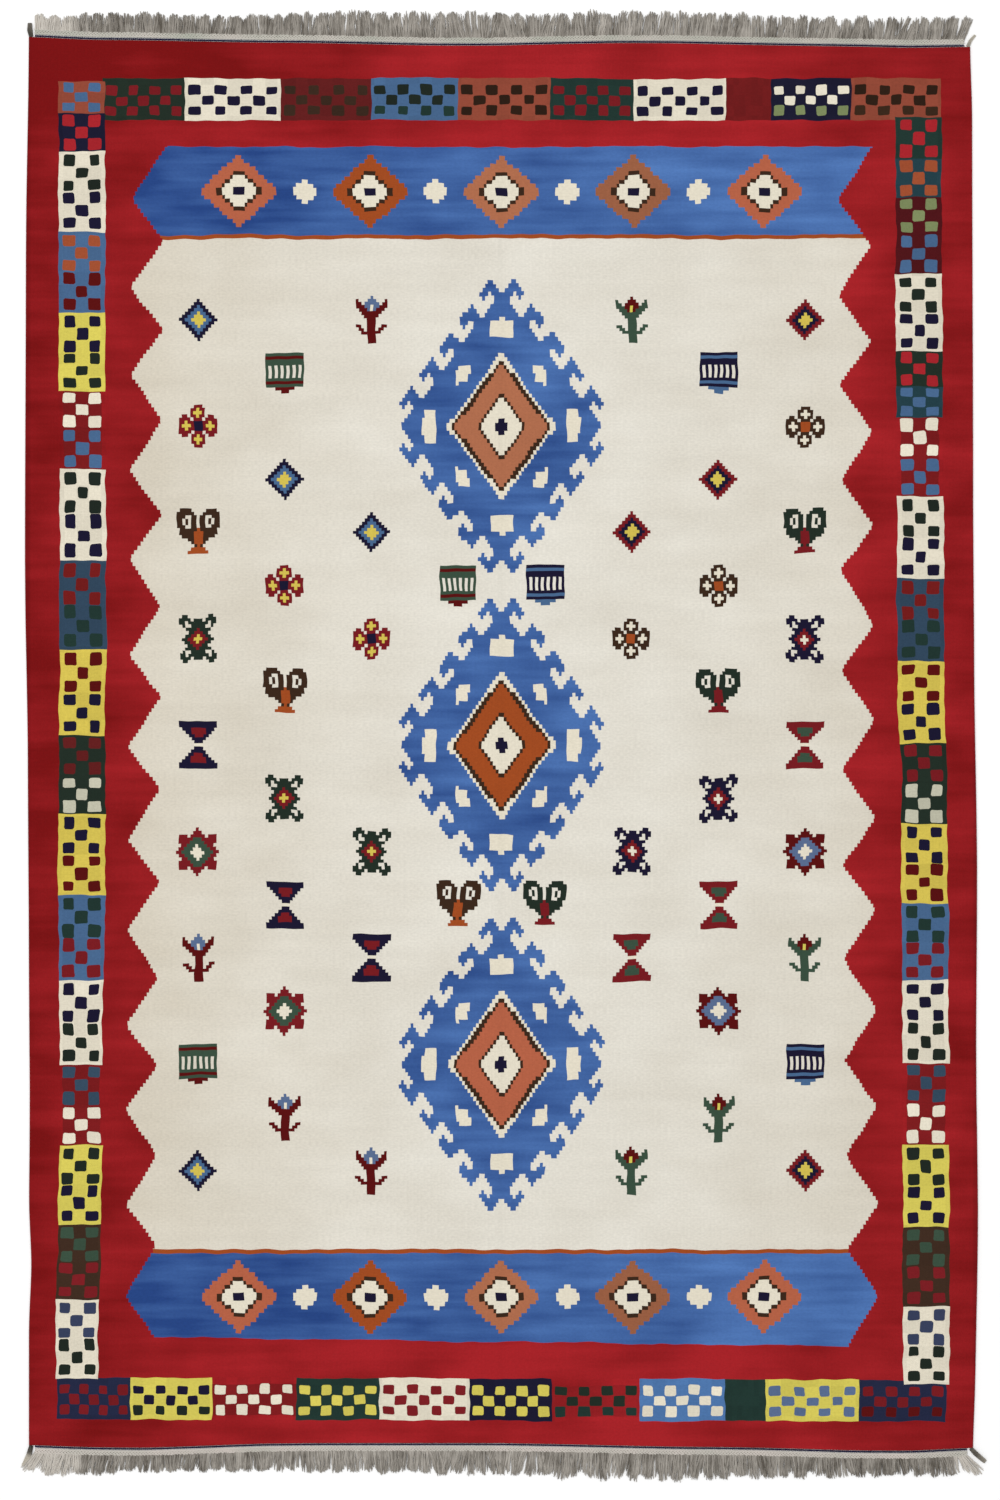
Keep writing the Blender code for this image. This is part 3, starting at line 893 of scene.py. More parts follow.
medallions, x, y = start_group("medallions", "X", "Y")
number = formula(medallions, "max(min(floor(y / MEDALLION_PITCH + 0.5), 1), 0 - 1)")
step_x = formula(medallions, "floor(abs(x) * steps) * share + share / 2", steps=1.0 / STEP_ACROSS,
                 share=STEP_ACROSS / MEDALLION_HALF_WIDTH)
step_y = formula(medallions, "floor(abs(number * pitch + y) * steps) * share + share / 2",
                 pitch=-MEDALLION_PITCH, steps=1.0 / STEP_ALONG, share=STEP_ALONG / MEDALLION_HALF_LENGTH)
ring = formula(medallions, "step_x + step_y")
beside = formula(medallions, "step_x - step_y")
hook_place = formula(medallions, "fract(beside * HOOKS + 0.5)")
stem = formula(medallions, "(ring > STEM_FROM) * (ring < STEM_TO) * (hook_place < STEM_SHARE)")
barb = formula(medallions, "(ring > BARB_FROM) * (ring < BARB_TO) * (hook_place < BARB_SHARE)")
hook = formula(medallions, "max(stem, barb) * (abs(beside) < HOOK_LIMIT)")
flake = formula(medallions, "abs(ring - FLAKE_AT) / FLAKE_DEPTH"
                " + abs(fract(beside * FLAKES + 0.5) - 0.5) / FLAKE_SHARE < 1")
ring_number = formula(medallions, "floor(ring * RINGS)")
ring_colours = [yarn(name or "salmon", 1.0) for name in RING_YARNS] + [yarn("indigo", 0.0)]
rings = read_yarns(medallions, ring_number, ring_colours)
middle_number = formula(medallions, "number + 1")
centre = read_yarns(medallions, middle_number, [yarn(name) for name in MEDALLION_YARNS])
in_centre = formula(medallions, "(ring_number > INNER_FROM - 0.5) * (ring_number < INNER_TO - 0.5)")
colour = overlay(medallions, rings["Color"], (centre["Color"], in_centre), (yarn("chalk"), flake))
plain = formula(medallions, "max(alpha, flake)", alpha=rings["Alpha"])
here = formula(medallions, "max(ring < 1, hook)")
end_group(medallions, Colour=colour, Plain=plain, Here=here)

# %% Group: end panels
PANEL_FROM, PANEL_MIDDLE, PANEL_SHIFT = 746.0, 816.0, 1.5
PANEL_REACH = 450.0
LINE_WIDTH = 6.0
LOZENGE_PITCH = 194.0
LOZENGE_HALF_WIDTH, LOZENGE_HALF_LENGTH = 60.0, 54.0
STAR_SHARE = 0.36
BAND_SHARE, CENTRE_SHARE, HEART_SHARE = 0.62, 0.5, 0.2
LOZENGE_YARNS = ("salmon", "fawn", "terracotta", "amber")

panels, x, y = start_group("end panels", "X", "Y")
depth = formula(panels, "abs(y - PANEL_SHIFT)")
number = formula(panels, "floor(x / LOZENGE_PITCH + 0.5) % 4")
across_lozenge = formula(panels, "(floor(abs(fract(x / LOZENGE_PITCH + 0.5) - 0.5)"
                         " * LOZENGE_PITCH / STEP_ACROSS) + 0.5) * STEP_ACROSS")
along_lozenge = formula(panels, "(floor(abs(depth - PANEL_MIDDLE) / STEP_ALONG) + 0.5) * STEP_ALONG")
lozenge = formula(panels, "across_lozenge / LOZENGE_HALF_WIDTH + along_lozenge / LOZENGE_HALF_LENGTH")
star = formula(panels, "(LOZENGE_PITCH / 2 - across_lozenge) / wide + along_lozenge / long",
               wide=LOZENGE_HALF_WIDTH * STAR_SHARE, long=LOZENGE_HALF_LENGTH * STAR_SHARE)
line = formula(panels, "depth < PANEL_FROM + LINE_WIDTH")
outer = read_yarns(panels, number, [yarn(name) for name in LOZENGE_YARNS])["Color"]
colour = overlay(
    panels, outer,
    (yarn("umber"), formula(panels, "lozenge < BAND_SHARE")),
    (yarn("chalk"), formula(panels, "max(lozenge < CENTRE_SHARE, star < 1)")),
    (yarn("navy"), formula(panels, "lozenge < HEART_SHARE")),
    (yarn("amber"), line))
plain = formula(panels, "max(max(lozenge < 1, star < 1) * (abs(x) < PANEL_REACH), line)")
end_group(panels, Colour=colour, Plain=plain, Here=formula(panels, "depth > PANEL_FROM"))

# %% [markdown]
# ## The woven wool
#
# The cloth is hand-spun wool, dyed in the hank and woven as tapestry. The eye gets
# four things from it: a dry surface with no gloss, fine ribs where the weft goes
# over the hidden warps, streaks along the weft where a dye lot ran out (a weaver
# calls it abrash), and edges that waver by a millimetre or two. The ribs are bump,
# one for each warp, with a bead for every second row of weft. Shade is painted into
# the colour too: a faint band along the old fold, a darker rim at both long edges,
# and madder and undyed wool that grow darker towards both long sides.

# %% Material: tapestry-woven wool
WARP_PITCH, WEFT_PITCH = 2.1, 1.9
RIB_DEPTH, RIB_SHARE, BEAD_SHARE, FLECK_SHARE = 0.35, 0.6, 0.4, 0.8
WANDER, WAVE = 5.0, 3.0
# EDGE_SHADE is painted shade: the colour darkens by up to a fifth at both long edges, where the rim rounds away from
# the light.
EDGE_SHADE, EDGE_SHADE_FROM, EDGE_SHADE_TO = 0.2, 694.0, 699.0
# FOLD_SHADE is painted shade: a faint darker band along the old fold, in its shallow trough.
FOLD_LINE, FOLD_SHADE, FOLD_SHADE_WIDTH = 1.0, 0.03, 9.0
STREAK_TONE, FLECK_TONE, CLOUD_TONE, WHOLE_TONE = 0.06, 0.12, 0.09, 0.765
MADDER_STREAK, MADDER_CLOUD, MADDER_START = 0.5, 1.2, 0.06
UNDYED_CLOUD, UNDYED_SIDES, UNDYED_START = 0.5, 1.5, 0.56
BLUE_STREAK, BLUE_CLOUD, BLUE_SLOPE, BLUE_LOSS = 0.7, 0.9, 6.7e-4, 0.35
# These two make a painted shade: the madder and the undyed wool grow darker towards both long sides, a little more on
# the left, as if the light fell off away from the middle.
SIDE_LOSS = 1.25e-6
SLANT_ACROSS, SLANT_ALONG = 1.6e-4, 0.5e-4
TOP_LOSS, TOP_FROM, TOP_TO = 0.15, 880.0, 980.0
CORNER_LOSS, CORNER_REACH = 0.45, 300.0
DEEP_BLUE, PALE_BLUE = "264686", "547dbd"
DULL_UNDYED, CLEAR_UNDYED = "d8cfbd", "e9e5da"
SHEEN, ROUGHNESS, SPECULAR = 0.03, 0.86, 0.08

wool, tree, shader = start_material("tapestry-woven wool")
place = put(tree, "ShaderNodeSeparateXYZ", {0: put(tree, "ShaderNodeUVMap", uv_map="Field")})
true_x, true_y = place.outputs["X"], place.outputs["Y"]


def noise(across_mm, along_mm, lift, detail):
    """Noise over the cloth, about so many millimetres from one patch to the next."""
    vector = put(tree, "ShaderNodeCombineXYZ", {
        "X": formula(tree, "true_x * share + lift", share=1.0 / across_mm, lift=lift),
        "Y": formula(tree, "true_y * share", share=1.0 / along_mm),
    })
    return put(tree, "ShaderNodeTexNoise", {"Vector": vector, "Scale": 1.0, "Detail": detail},
               noise_dimensions="2D").outputs[0]


x, y = [
    formula(tree, "long * WANDER + (short * WAVE + (place - half))", place=true, long=noise(*long, 1.0),
            short=noise(*short, 0.0), half=(WANDER + WAVE) / 2)
    for true, long, short in ((true_x, (120.0, 90.0, 0.0), (26.0, 20.0, 7.0)),
                              (true_y, (110.0, 130.0, 13.0), (24.0, 30.0, 19.0)))]
streak = noise(190.0, 15.0, 31.0, 2.0)
fleck = noise(5.0, 2.4, 57.0, 0.0)
cloud = noise(140.0, 80.0, 83.0, 2.0)

# Painted shade towards both long sides, taken off the share of the bright madder and of the clear undyed wool below.
side_loss = formula(tree, "true_x * (true_x * loss + SLANT_ACROSS)", loss=-SIDE_LOSS)
top_loss = formula(tree, "smooth(true_y, TOP_FROM, TOP_TO)"
                   " * (smooth(0 - true_x, 0, CORNER_REACH) * CORNER_LOSS + TOP_LOSS)")
madder_share = formula(tree, "streak * MADDER_STREAK + (cloud * MADDER_CLOUD + (true_y * SLANT_ALONG"
                       " + (side_loss + MADDER_START))) - top_loss")
undyed_share = formula(tree, "cloud * UNDYED_CLOUD + (side_loss * UNDYED_SIDES + UNDYED_START)")
blue_share = formula(tree, "streak * BLUE_STREAK"
                     " + (cloud * BLUE_CLOUD + (true_x * BLUE_SLOPE - BLUE_LOSS))")
madder, indigo, undyed = [
    overlay(tree, deep, (pale, formula(tree, "min(max(share, 0), 1)", share=share)))
    for deep, pale, share in ((yarn("deep madder"), yarn("bright madder"), madder_share),
                              (linear(DEEP_BLUE), linear(PALE_BLUE), blue_share),
                              (linear(DULL_UNDYED), linear(CLEAR_UNDYED), undyed_share))]

squares, small, large, closing, edge = [
    put(tree, "ShaderNodeGroup", {"X": x, "Y": y}, node_tree=group).outputs
    for group in (strips, figures, medallions, panels, field)]
field_colour = overlay(
    tree, undyed, (small["Colour"], small["Here"]),
    (overlay(tree, indigo, (large["Colour"], large["Plain"])), large["Here"]),
    (overlay(tree, indigo, (closing["Colour"], closing["Plain"])), closing["Here"]))
colour = overlay(tree, madder, (squares["Ground"], squares["Cover"]), (squares["Spots"], squares["Spot"]),
                 (field_colour, edge["Inside"]))
# The tone holds random streaks, flecks and clouds, then painted shade: a dip along the fold and a darker rim at both
# long edges.
tone = formula(
    tree, "shade * (streak * STREAK_TONE + (fleck * FLECK_TONE + (cloud * CLOUD_TONE + WHOLE_TONE)))"
    " * (1 - FOLD_SHADE * max(0, 1 - abs(true_x + FOLD_LINE) / FOLD_SHADE_WIDTH))"
    " * (1 - EDGE_SHADE * smooth(abs(true_x), EDGE_SHADE_FROM, EDGE_SHADE_TO))", shade=squares["Shade"])
toned = put(tree, "ShaderNodeVectorMath", {0: colour, 1: tone}, operation="MULTIPLY")

warp = formula(tree, "true_x / WARP_PITCH")
rib = formula(tree, "1 - (2 * fract(warp) - 1) ** 2")
bead = formula(tree, "1 - (2 * fract(true_y / WEFT_PITCH + floor(warp) / 2) - 1) ** 2")
height = formula(tree, "rib * (RIB_SHARE + BEAD_SHARE * bead) + (fleck - 0.5) * FLECK_SHARE")
ribs = put(tree, "ShaderNodeBump", {"Height": height, "Strength": 1.0, "Distance": RIB_DEPTH * MM})

feed(shader, {"Base Color": toned, "Normal": ribs, "Roughness": ROUGHNESS, "Specular IOR Level": SPECULAR,
              "Sheen Weight": SHEEN})
cloth_mesh.materials.append(wool)
print("the wool takes", len(tree.nodes), "nodes and five groups")

# %% [markdown]
# ## Cords by Geometry Nodes
#
# A cord is a few strands that swing round or across one path. One tree makes all of
# them: it copies the path once for each strand, and moves each copy sideways and up
# by a sine of its length. If the strand rises once in each turn it goes round, as in
# a twined cord. If it rises twice it goes over and under, as in a flat braid. The
# named inputs give the sizes, and a mark on the path can thin the cord at a tip.

# %% Trees, paths and pieces
SOCKETS = {float: "NodeSocketFloat", int: "NodeSocketInt"}


def start_shape(name, **sizes):
    """A Geometry Nodes tree with a path, a material and named sizes as its inputs."""
    shape = bpy.data.node_groups.new(name, "GeometryNodeTree")
    for text, in_out in (("Path", "INPUT"), ("Shape", "OUTPUT")):
        shape.interface.new_socket(text, in_out=in_out, socket_type="NodeSocketGeometry")
    shape.interface.new_socket("Material", in_out="INPUT", socket_type="NodeSocketMaterial")
    for text, value in sizes.items():
        socket = shape.interface.new_socket(text, in_out="INPUT", socket_type=SOCKETS[type(value)])
        socket.default_value = value
    return shape, put(shape, "NodeGroupInput").outputs


def end_shape(shape, curve, girth, radius, sides, material):
    """Close a tree: a tube round the curve, smooth faces, real instances, one material."""
    ring = put(shape, "GeometryNodeCurvePrimitiveCircle", {"Resolution": sides, "Radius": radius})
    tube = put(shape, "GeometryNodeCurveToMesh", {
        "Curve": curve, "Profile Curve": ring, "Scale": girth, "Fill Caps": True})
    smooth = put(shape, "GeometryNodeSetShadeSmooth", {"Geometry": tube})
    real = put(shape, "GeometryNodeRealizeInstances", {"Geometry": smooth})
    painted = put(shape, "GeometryNodeSetMaterial", {"Geometry": real, "Material": material})
    put(shape, "NodeGroupOutput", {"Shape": painted})


def read_mark(shape, name):
    """A number that the path or the mesh carries at each place."""
    return put(shape, "GeometryNodeInputNamedAttribute", {"Name": name}, data_type="FLOAT").outputs[0]


def lay_path(points, **marks):
    """A path through points in millimetres, with a number for each mark at each point."""
    path = bpy.data.meshes.new("path")
    path.from_pydata((np.array(points) * MM).tolist(), [(n, n + 1) for n in range(len(points) - 1)], [])
    for name, values in marks.items():
        path.attributes.new(name, "FLOAT", "POINT").data.foreach_set("value", np.array(values, "f4"))
    return path


def grow(name, path, shape, material, **sizes):
    """Run a tree on a path and keep the result as a plain mesh."""
    carrier = show(path, name + " path")
    modifier = carrier.modifiers.new("shape", "NODES")
    modifier.node_group = shape
    sizes["Material"] = material
    for socket in shape.interface.items_tree:
        if socket.in_out == "INPUT" and socket.name in sizes:
            modifier[socket.identifier] = sizes[socket.name]
    bpy.context.view_layer.update()
    graph = bpy.context.evaluated_depsgraph_get()
    mesh = bpy.data.meshes.new_from_object(carrier.evaluated_get(graph))
    bpy.data.objects.remove(carrier)
    mesh.calc_loop_triangles()
    print(name, "has", len(mesh.loop_triangles), "triangles")
    return show(mesh, name)


# %% Tree: plied cord
TURN = 6.2832
UPWARDS = (0.0, 0.0, 1.0)
CORD_SIDES = 6

cord_tree, sizes = start_shape(
    "plied cord", Strands=2, Turn_Length=0.006, Half_Width=0.0007, Half_Height=0.0007, Rises=1.0,
    Rise_Start=0.25, Strand_Radius=0.0008, Step=0.001, Height=0.0015)
curve = put(cord_tree, "GeometryNodeMeshToCurve", {"Mesh": sizes["Path"]})
even = put(cord_tree, "GeometryNodeResampleCurve", {"Curve": curve, "Length": sizes["Step"]},
           mode="LENGTH")
copies = put(cord_tree, "GeometryNodeDuplicateElements", {"Geometry": even, "Amount": sizes["Strands"]},
             domain="SPLINE")
girth = read_mark(cord_tree, "girth")
turns = formula(cord_tree, "length / turn + copy / strands", turn=sizes["Turn_Length"],
                strands=sizes["Strands"], copy=copies.outputs["Duplicate Index"],
                length=put(cord_tree, "GeometryNodeSplineParameter").outputs["Length"])
swing = formula(cord_tree, "sin(turns * TURN) * wide * girth", wide=sizes["Half_Width"])
lift = formula(cord_tree, "base * girth + sin((turns * rises + start) * TURN) * high * girth",
               rises=sizes["Rises"], start=sizes["Rise_Start"], high=sizes["Half_Height"],
               base=sizes["Height"])
tangent = put(cord_tree, "GeometryNodeInputTangent")
aside = put(cord_tree, "ShaderNodeVectorMath", {0: tangent, 1: UPWARDS}, operation="CROSS_PRODUCT")
sideways = put(cord_tree, "ShaderNodeVectorMath", {0: aside, "Scale": swing}, operation="SCALE")
upwards = put(cord_tree, "ShaderNodeCombineXYZ", {"Z": lift})
move = put(cord_tree, "ShaderNodeVectorMath", {0: sideways, 1: upwards})
moved = put(cord_tree, "GeometryNodeSetPosition", {"Geometry": copies, "Offset": move})
end_shape(cord_tree, moved, girth, sizes["Strand_Radius"], CORD_SIDES, sizes["Material"])

# %% [markdown]
# ## Wool for the ends
#
# The twined cord is navy wool. The warps themselves are undyed grey wool, twisted
# hard, and their loose ends show it: no two strands are quite the same tone. Each
# strand carries its tone as a number on the mesh, which the material reads. The
# braid is the same wool, packed flat, and looks paler than the loose ends.

# %% Materials: undyed and navy wool
PATCH_SHARE, TWIST_SHARE = 0.7, 0.3
TWIST_DEPTH = 0.4


def plain_wool(name, dark, pale, patch_mm, twist_mm):
    """Plied wool: two tones of one fleece, and a fine twist along the strand."""
    material, nodes, shader = start_material(name)
    place = put(nodes, "ShaderNodeTexCoord").outputs["Object"]
    tone = put(nodes, "ShaderNodeAttribute", attribute_name="tone").outputs["Fac"]
    patches, twist = [
        put(nodes, "ShaderNodeTexNoise", {"Vector": place, "Scale": 1.0 / (size * MM), "Detail": detail})
        for size, detail in ((patch_mm, 2.0), (twist_mm, 1.0))]
    share = formula(nodes, "min(max(tone + (p - 0.5) * PATCH_SHARE + (t - 0.5) * TWIST_SHARE, 0), 1)",
                    tone=tone, p=patches, t=twist)
    feed(shader, {"Base Color": overlay(nodes, linear(dark), (linear(pale), share))})
    bump = put(nodes, "ShaderNodeBump", {"Height": twist, "Distance": TWIST_DEPTH * MM})
    feed(shader, {"Normal": bump, "Roughness": ROUGHNESS, "Specular IOR Level": SPECULAR})
    return material


navy_wool = plain_wool("navy twined wool", "15132f", "2c2a48", 30.0, 1.2)
braid_wool = plain_wool("undyed wool braid", "99a394", "d3c8c2", 60.0, 1.4)
warp_wool = plain_wool("undyed wool warp", "5e5850", "c7c1b8", 22.0, 1.0)
edge_wool = plain_wool("brown edge cord", "34302c", "b9b2a4", 22.0, 1.4)

# %% [markdown]
# ## Twined cord and flat braid
#
# The twined cord locks the last row of weft, and the braid carries all the warps
# along the end in one flat band. Both follow the wavering end of the cloth at a
# set distance, and stop short of the corners, where the edge cords come out.

# %% Make the twined cords and the braids
PATH_STEP = 4.0
TWINING_OFF, BRAID_OFF = 1.75, 8.0
BRAID_TONES = {"top": 0.5, "bottom": 0.68}
CORNER_ROOM = 9.0
END_LINES = {"top": (top_end, 1), "bottom": (bottom_end, -1)}


def end_path(end, off, start, stop):
    """Points that follow one end of the cloth, at a distance outside it."""
    line, outward = END_LINES[end]
    x = np.linspace(start, stop, round((stop - start) / PATH_STEP) + 1)
    return np.stack([x, line(x) + outward * off, np.zeros_like(x)], 1)


def end_span(end):
    """Where a cord along the end starts and stops."""
    along = END_LINES[end][1] * LENGTH / 2
    return float(left_side(along)) + CORNER_ROOM, float(right_side(along)) - CORNER_ROOM


end_pieces = []
for end in END_LINES:
    twining_points = end_path(end, TWINING_OFF, *end_span(end))
    braid_points = end_path(end, BRAID_OFF, *end_span(end))
    ones = np.ones(len(twining_points))
    twining = grow(
        f"twined_cord_{end}", lay_path(twining_points, girth=ones, tone=0.4 * ones), cord_tree, navy_wool,
        Strands=2, Turn_Length=6.0 * MM, Half_Width=0.6 * MM, Half_Height=0.5 * MM, Rises=1.0,
        Rise_Start=0.25, Strand_Radius=0.85 * MM, Step=0.9 * MM, Height=1.4 * MM)
    braid = grow(
        f"warp_braid_{end}", lay_path(braid_points, girth=ones, tone=BRAID_TONES[end] * ones), cord_tree,
        braid_wool, Strands=5, Turn_Length=24.0 * MM, Half_Width=3.2 * MM, Half_Height=0.5 * MM,
        Rises=2.0, Rise_Start=0.0, Strand_Radius=1.25 * MM, Step=1.7 * MM, Height=1.8 * MM)
    end_pieces += [(twining, f"twining_{end}", "twined_cord"), (braid, f"braid_{end}", "warp_braid")]

# %% [markdown]
# ## The fringe
#
# Nearly seven hundred warps lie loose beyond the braid, and the plies of each part.
# They cling together in tufts, and the line of tips is ragged, because they were cut
# by eye. One tree sets straight strands along a path, leans and stretches each, pulls
# it towards the middle of its tuft and gives it a slight wave. Marks on the path say
# how the fringe leans, how long it is and how pale, place by place.

# %% Tree: fringe
QUARTER_TURN = TURN / 4
STRAND_POINTS, STRAND_SIDES = 6, 5
TUFT_WIDTHS = (2.0, 1.3, 0.9)
TUFT_DRIFT = 1.4
MEAN_STRETCH, OWN_SHARE, TUFT_SHARE = 1.06, 0.6, 3.2
SETTLING = 0.7
TIP_LOSS, TIP_POWER = 0.5, 6
WANDER_SCALE = 70.0

fringe_tree, sizes = start_shape(
    "fringe", Strands=1100, Length=0.03, Facing=1.0, Lean_Spread=0.16, Length_Spread=0.13,
    Strand_Radius=0.0009, Tuft=0.022, Tuft_Lean=0.7, Cling=0.2, Round=0.26, Wave=0.006, Rise=0.002,
    Tone_Spread=0.22, Seed=3)
tuft_size, seed, wave_size = sizes["Tuft"], sizes["Seed"], sizes["Wave"]
curve = put(fringe_tree, "GeometryNodeMeshToCurve", {"Mesh": sizes["Path"]})
roots = put(fringe_tree, "GeometryNodeResampleCurve", {"Curve": curve, "Count": sizes["Strands"]},
            mode="COUNT")
lean_mark, stretch_mark, tone_mark = [
    read_mark(fringe_tree, name) for name in ("lean", "stretch", "tone")]
chances = [
    put(fringe_tree, "FunctionNodeRandomValue", {2: -1.0, 3: 1.0, "Seed": formula(
        fringe_tree, "seed + n", n=number)}, data_type="FLOAT").outputs[1] for number in range(4)]
where = put(fringe_tree, "GeometryNodeInputPosition")
root_x = put(fringe_tree, "ShaderNodeSeparateXYZ", {0: where}).outputs["X"]
tufts = [put(fringe_tree, "ShaderNodeTexNoise", {
    "W": formula(fringe_tree, "root_x / tuft_size / n + seed * n", n=wide), "Scale": 1.0, "Detail": 1.0},
    noise_dimensions="1D") for wide in TUFT_WIDTHS]
lean = formula(fringe_tree, "facing * QUARTER_TURN"
               " - facing * (lean_mark + spread * chance + tuft_lean * (tuft - 0.5))",
               facing=sizes["Facing"], spread=sizes["Lean_Spread"], chance=chances[0],
               tuft_lean=sizes["Tuft_Lean"], tuft=tufts[0])
tuft_middle = formula(
    fringe_tree, "(floor(root_x / tuft_size + noise * TUFT_DRIFT) + 0.5 - noise * TUFT_DRIFT) * tuft_size"
    " - root_x", noise=tufts[0])
tuft_edge = formula(fringe_tree, "round * (2 * tuft_middle / tuft_size) ** 2", round=sizes["Round"])
stretch = formula(
    fringe_tree, "length * stretch_mark"
    " * (MEAN_STRETCH + spread * (chance * OWN_SHARE + (tuft - 0.5) * TUFT_SHARE) - tuft_edge)",
    length=sizes["Length"], spread=sizes["Length_Spread"], chance=chances[1], tuft=tufts[1])
line = put(fringe_tree, "GeometryNodeCurvePrimitiveLine", {"End": (1.0, 0.0, 0.0)})
strand = put(fringe_tree, "GeometryNodeResampleCurve", {"Curve": line, "Count": STRAND_POINTS},
             mode="COUNT")
kept = put(fringe_tree, "GeometryNodeInstanceOnPoints", {
    "Points": roots, "Instance": strand,
    "Rotation": put(fringe_tree, "ShaderNodeCombineXYZ", {"Z": lean}),
    "Scale": put(fringe_tree, "ShaderNodeCombineXYZ", {"X": stretch, "Y": 1.0, "Z": 1.0})})
for name, value in (
        ("pull", formula(fringe_tree, "tuft_middle * cling", cling=sizes["Cling"])),
        ("layer", formula(fringe_tree, "chance * 0.5 + 0.5", chance=chances[2])),
        ("tone", formula(fringe_tree, "tone_mark + spread * (chance + (tuft - 0.5) * 2)",
                         spread=sizes["Tone_Spread"], chance=chances[3], tuft=tufts[2]))):
    kept = put(fringe_tree, "GeometryNodeStoreNamedAttribute", {
        "Geometry": kept, "Name": name, "Value": value}, data_type="FLOAT", domain="INSTANCE")
strands = put(fringe_tree, "GeometryNodeRealizeInstances", {"Geometry": kept})
share = put(fringe_tree, "GeometryNodeSplineParameter").outputs["Factor"]
pull, layer = [read_mark(fringe_tree, name) for name in ("pull", "layer")]
wander = put(fringe_tree, "ShaderNodeTexNoise", {"Vector": where, "Scale": WANDER_SCALE, "Detail": 1.0},
             noise_dimensions="3D")
wave = put(fringe_tree, "ShaderNodeSeparateXYZ", {0: wander.outputs["Color"]}).outputs
shift = put(fringe_tree, "ShaderNodeCombineXYZ", {
    "X": formula(fringe_tree, "pull * share + (n - 0.5) * wave_size * share", n=wave[0]),
    "Y": formula(fringe_tree, "(n - 0.5) * wave_size * share", n=wave[1]),
    "Z": formula(fringe_tree, "radius + rise * layer * (1 - share * share * SETTLING)",
                 radius=sizes["Strand_Radius"], rise=sizes["Rise"])})
waved = put(fringe_tree, "GeometryNodeSetPosition", {"Geometry": strands, "Offset": shift})
thinning = formula(fringe_tree, "1 - TIP_LOSS * share ** TIP_POWER")
end_shape(fringe_tree, waved, thinning, sizes["Strand_Radius"], STRAND_SIDES, sizes["Material"])

# %% Make the fringes
FRINGE_OFF = 10.4
FRINGE_LENGTH = 31.5
FRINGE_STRANDS = 2300
FRINGE_MARKS = {
    "top": (
        # x, lean, stretch, tone
        (-700, 0.02, 0.66, 0.95), (-640, 0.00, 0.70, 0.90), (-625, 0.00, 0.74, 0.30),
        (-590, -0.05, 0.92, 0.26), (-400, 0.10, 0.84, 0.32), (-240, 0.02, 1.10, 0.36),
        (-80, -0.12, 1.16, 0.40), (80, 0.06, 1.02, 0.40), (220, 0.10, 1.10, 0.42),
        (485, 0.14, 0.94, 0.40), (672, 0.22, 1.06, 0.34), (684, 0.40, 0.80, 0.75),
    ),
    "bottom": (
        (-694, -0.85, 0.95, 0.95), (-672, -0.34, 0.96, 0.95), (-632, -0.22, 0.98, 0.90),
        (-620, -0.20, 0.98, 0.35), (-550, -0.10, 0.76, 0.28), (-250, 0.05, 0.95, 0.45),
        (-70, -0.04, 1.06, 0.45), (240, -0.10, 1.16, 0.40), (380, 0.02, 1.00, 0.36),
        (590, 0.08, 0.78, 0.28), (655, 0.12, 0.92, 0.28), (670, 0.45, 0.95, 0.95),
        (683, 0.85, 1.00, 1.00),
    ),
}
for first_seed, end in ((7, "top"), (8, "bottom")):
    points = end_path(end, FRINGE_OFF, *end_span(end))
    place, *columns = np.transpose(FRINGE_MARKS[end])
    marks = {name: np.interp(points[:, 0], place, column)
             for name, column in zip(("lean", "stretch", "tone"), columns)}
    fringe = grow(f"warp_fringe_{end}", lay_path(points, **marks), fringe_tree, warp_wool,
                  Strands=FRINGE_STRANDS, Length=FRINGE_LENGTH * MM, Facing=float(END_LINES[end][1]),
                  Seed=first_seed)
    end_pieces.append((fringe, f"fringe_{end}", "loose_warp"))

# %% [markdown]
# ## Tails at the corners
#
# Two cords of three plies bind each long side, and their ends come out together at
# each corner as a short tail. Every tail has a shape of its own, so its points are
# listed one by one: how far ahead of the corner, how far aside, how wide and how pale.

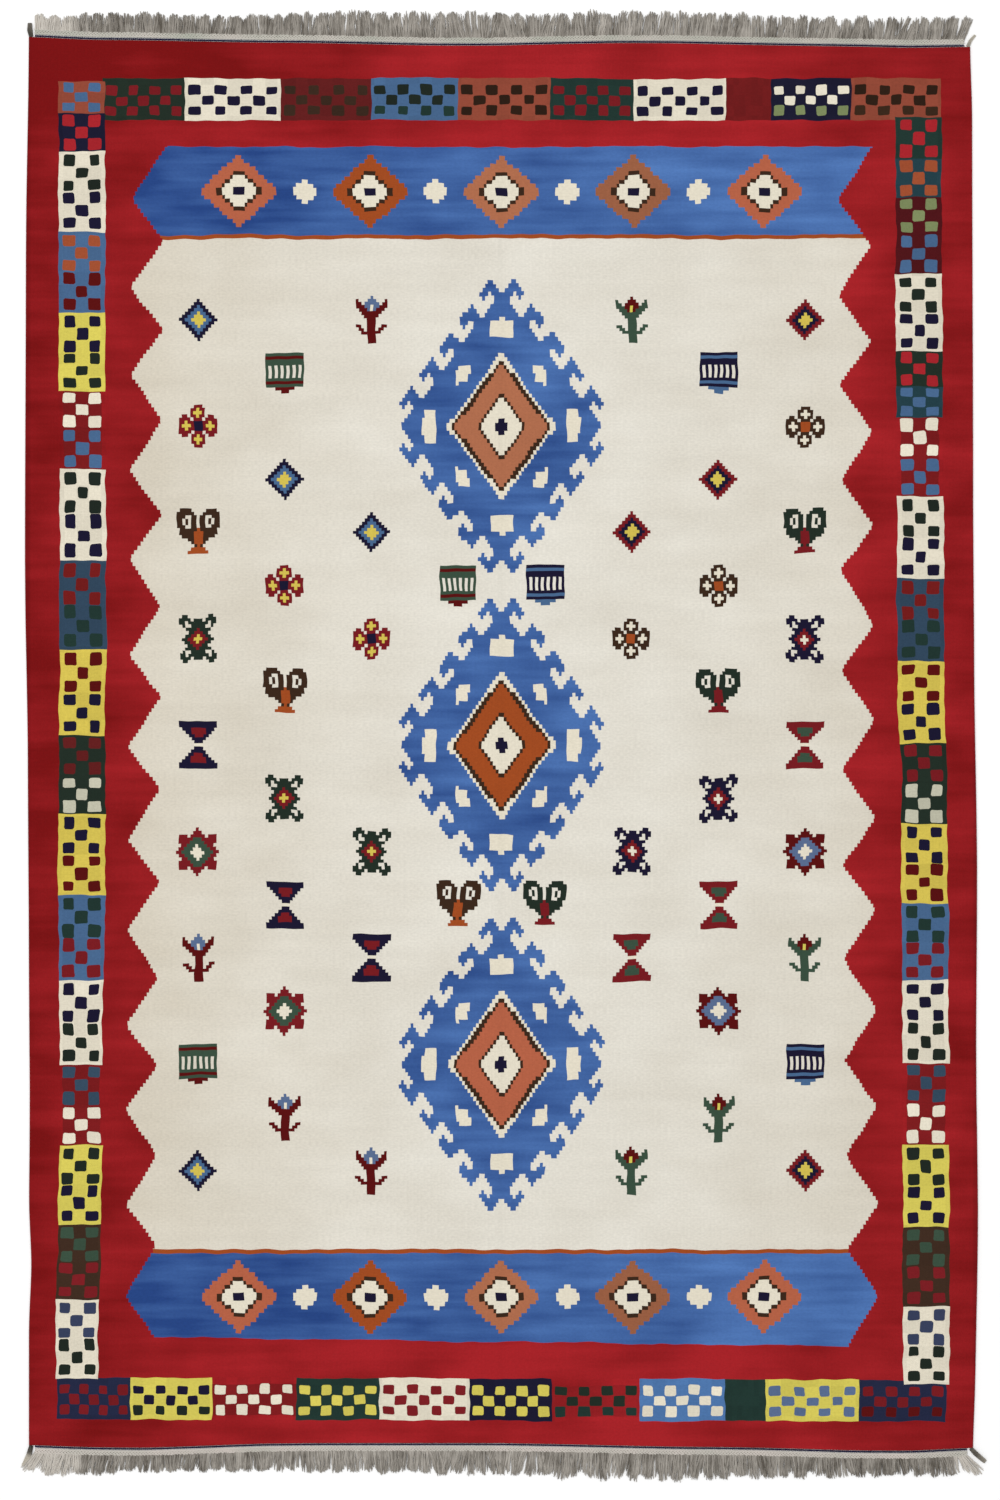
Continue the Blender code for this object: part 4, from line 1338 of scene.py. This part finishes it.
# %% Make the tails
TAIL_GAP = 0.3
TAILS = {
    # ahead, aside, width, tone
    ("top", "left"): ((0, -3.5, 7, 0.1), (10, -1.5, 9, 0.1), (20, -1.5, 7, 0.2)),
    ("top", "right"): ((0, -3.5, 6, 0.6), (9, 0.5, 5.5, 0.8), (17, 7.5, 4, 1.0)),
    ("bottom", "left"): ((0, -3.5, 7, 0.0), (10, -1, 8.5, 0.2), (16, 1, 8.5, 1.0), (30, 9.5, 4, 1.0)),
    ("bottom", "right"): ((0, -3.5, 7, 0.1), (8, 4, 8.5, 0.1), (20, 18, 7, 0.5)),
}
TAIL_WIDTH = 8.0
for (end, side), table in TAILS.items():
    line, outward = END_LINES[end]
    edge, aside = (left_side, -1) if side == "left" else (right_side, 1)
    corner_x = float(edge(outward * LENGTH / 2))
    steps, offs, widths, tones = np.transpose(table)
    x = corner_x + aside * offs
    points = np.column_stack([x, line(x) + outward * (TAIL_GAP + steps), 0.0 * x])
    path = lay_path(points, girth=widths / TAIL_WIDTH, tone=tones)
    tail = grow(f"edge_cord_tail_{end}_{side}", path, cord_tree, edge_wool,
                Strands=6, Turn_Length=16.0 * MM, Half_Width=2.6 * MM, Half_Height=0.9 * MM, Rises=1.0,
                Rise_Start=0.25, Strand_Radius=1.1 * MM, Step=1.2 * MM, Height=2.05 * MM)
    end_pieces.append((tail, f"tail_{end}_{side}", "edge_cord"))

# %% [markdown]
# ## Into the frame
#
# Every piece rides on the rug's one body, stands for its solid, and names the
# finish it takes. The cloth is declared as a sheet, laid flat, with its cords and
# fringes.

# %% Ride, replace and declare
for piece, node, finish in [(cloth, "woven_body", "woven_wool"), *end_pieces]:
    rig.ride(piece, "root")
    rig.replaces(piece, node)
    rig.slot(piece, finish)
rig.sheet(cloth, flat=(WIDTH * MM, LENGTH * MM), held="laid",
         with_pieces=[piece for piece, _, _ in end_pieces])

# %% Sizes
visual_low, visual_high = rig.bounds()
sizes = {"cad": [list(cad_low), list(cad_high)], "visual": [list(visual_low), list(visual_high)]}
with open("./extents.json", "w") as file:
    json.dump(sizes, file)
print(sizes)
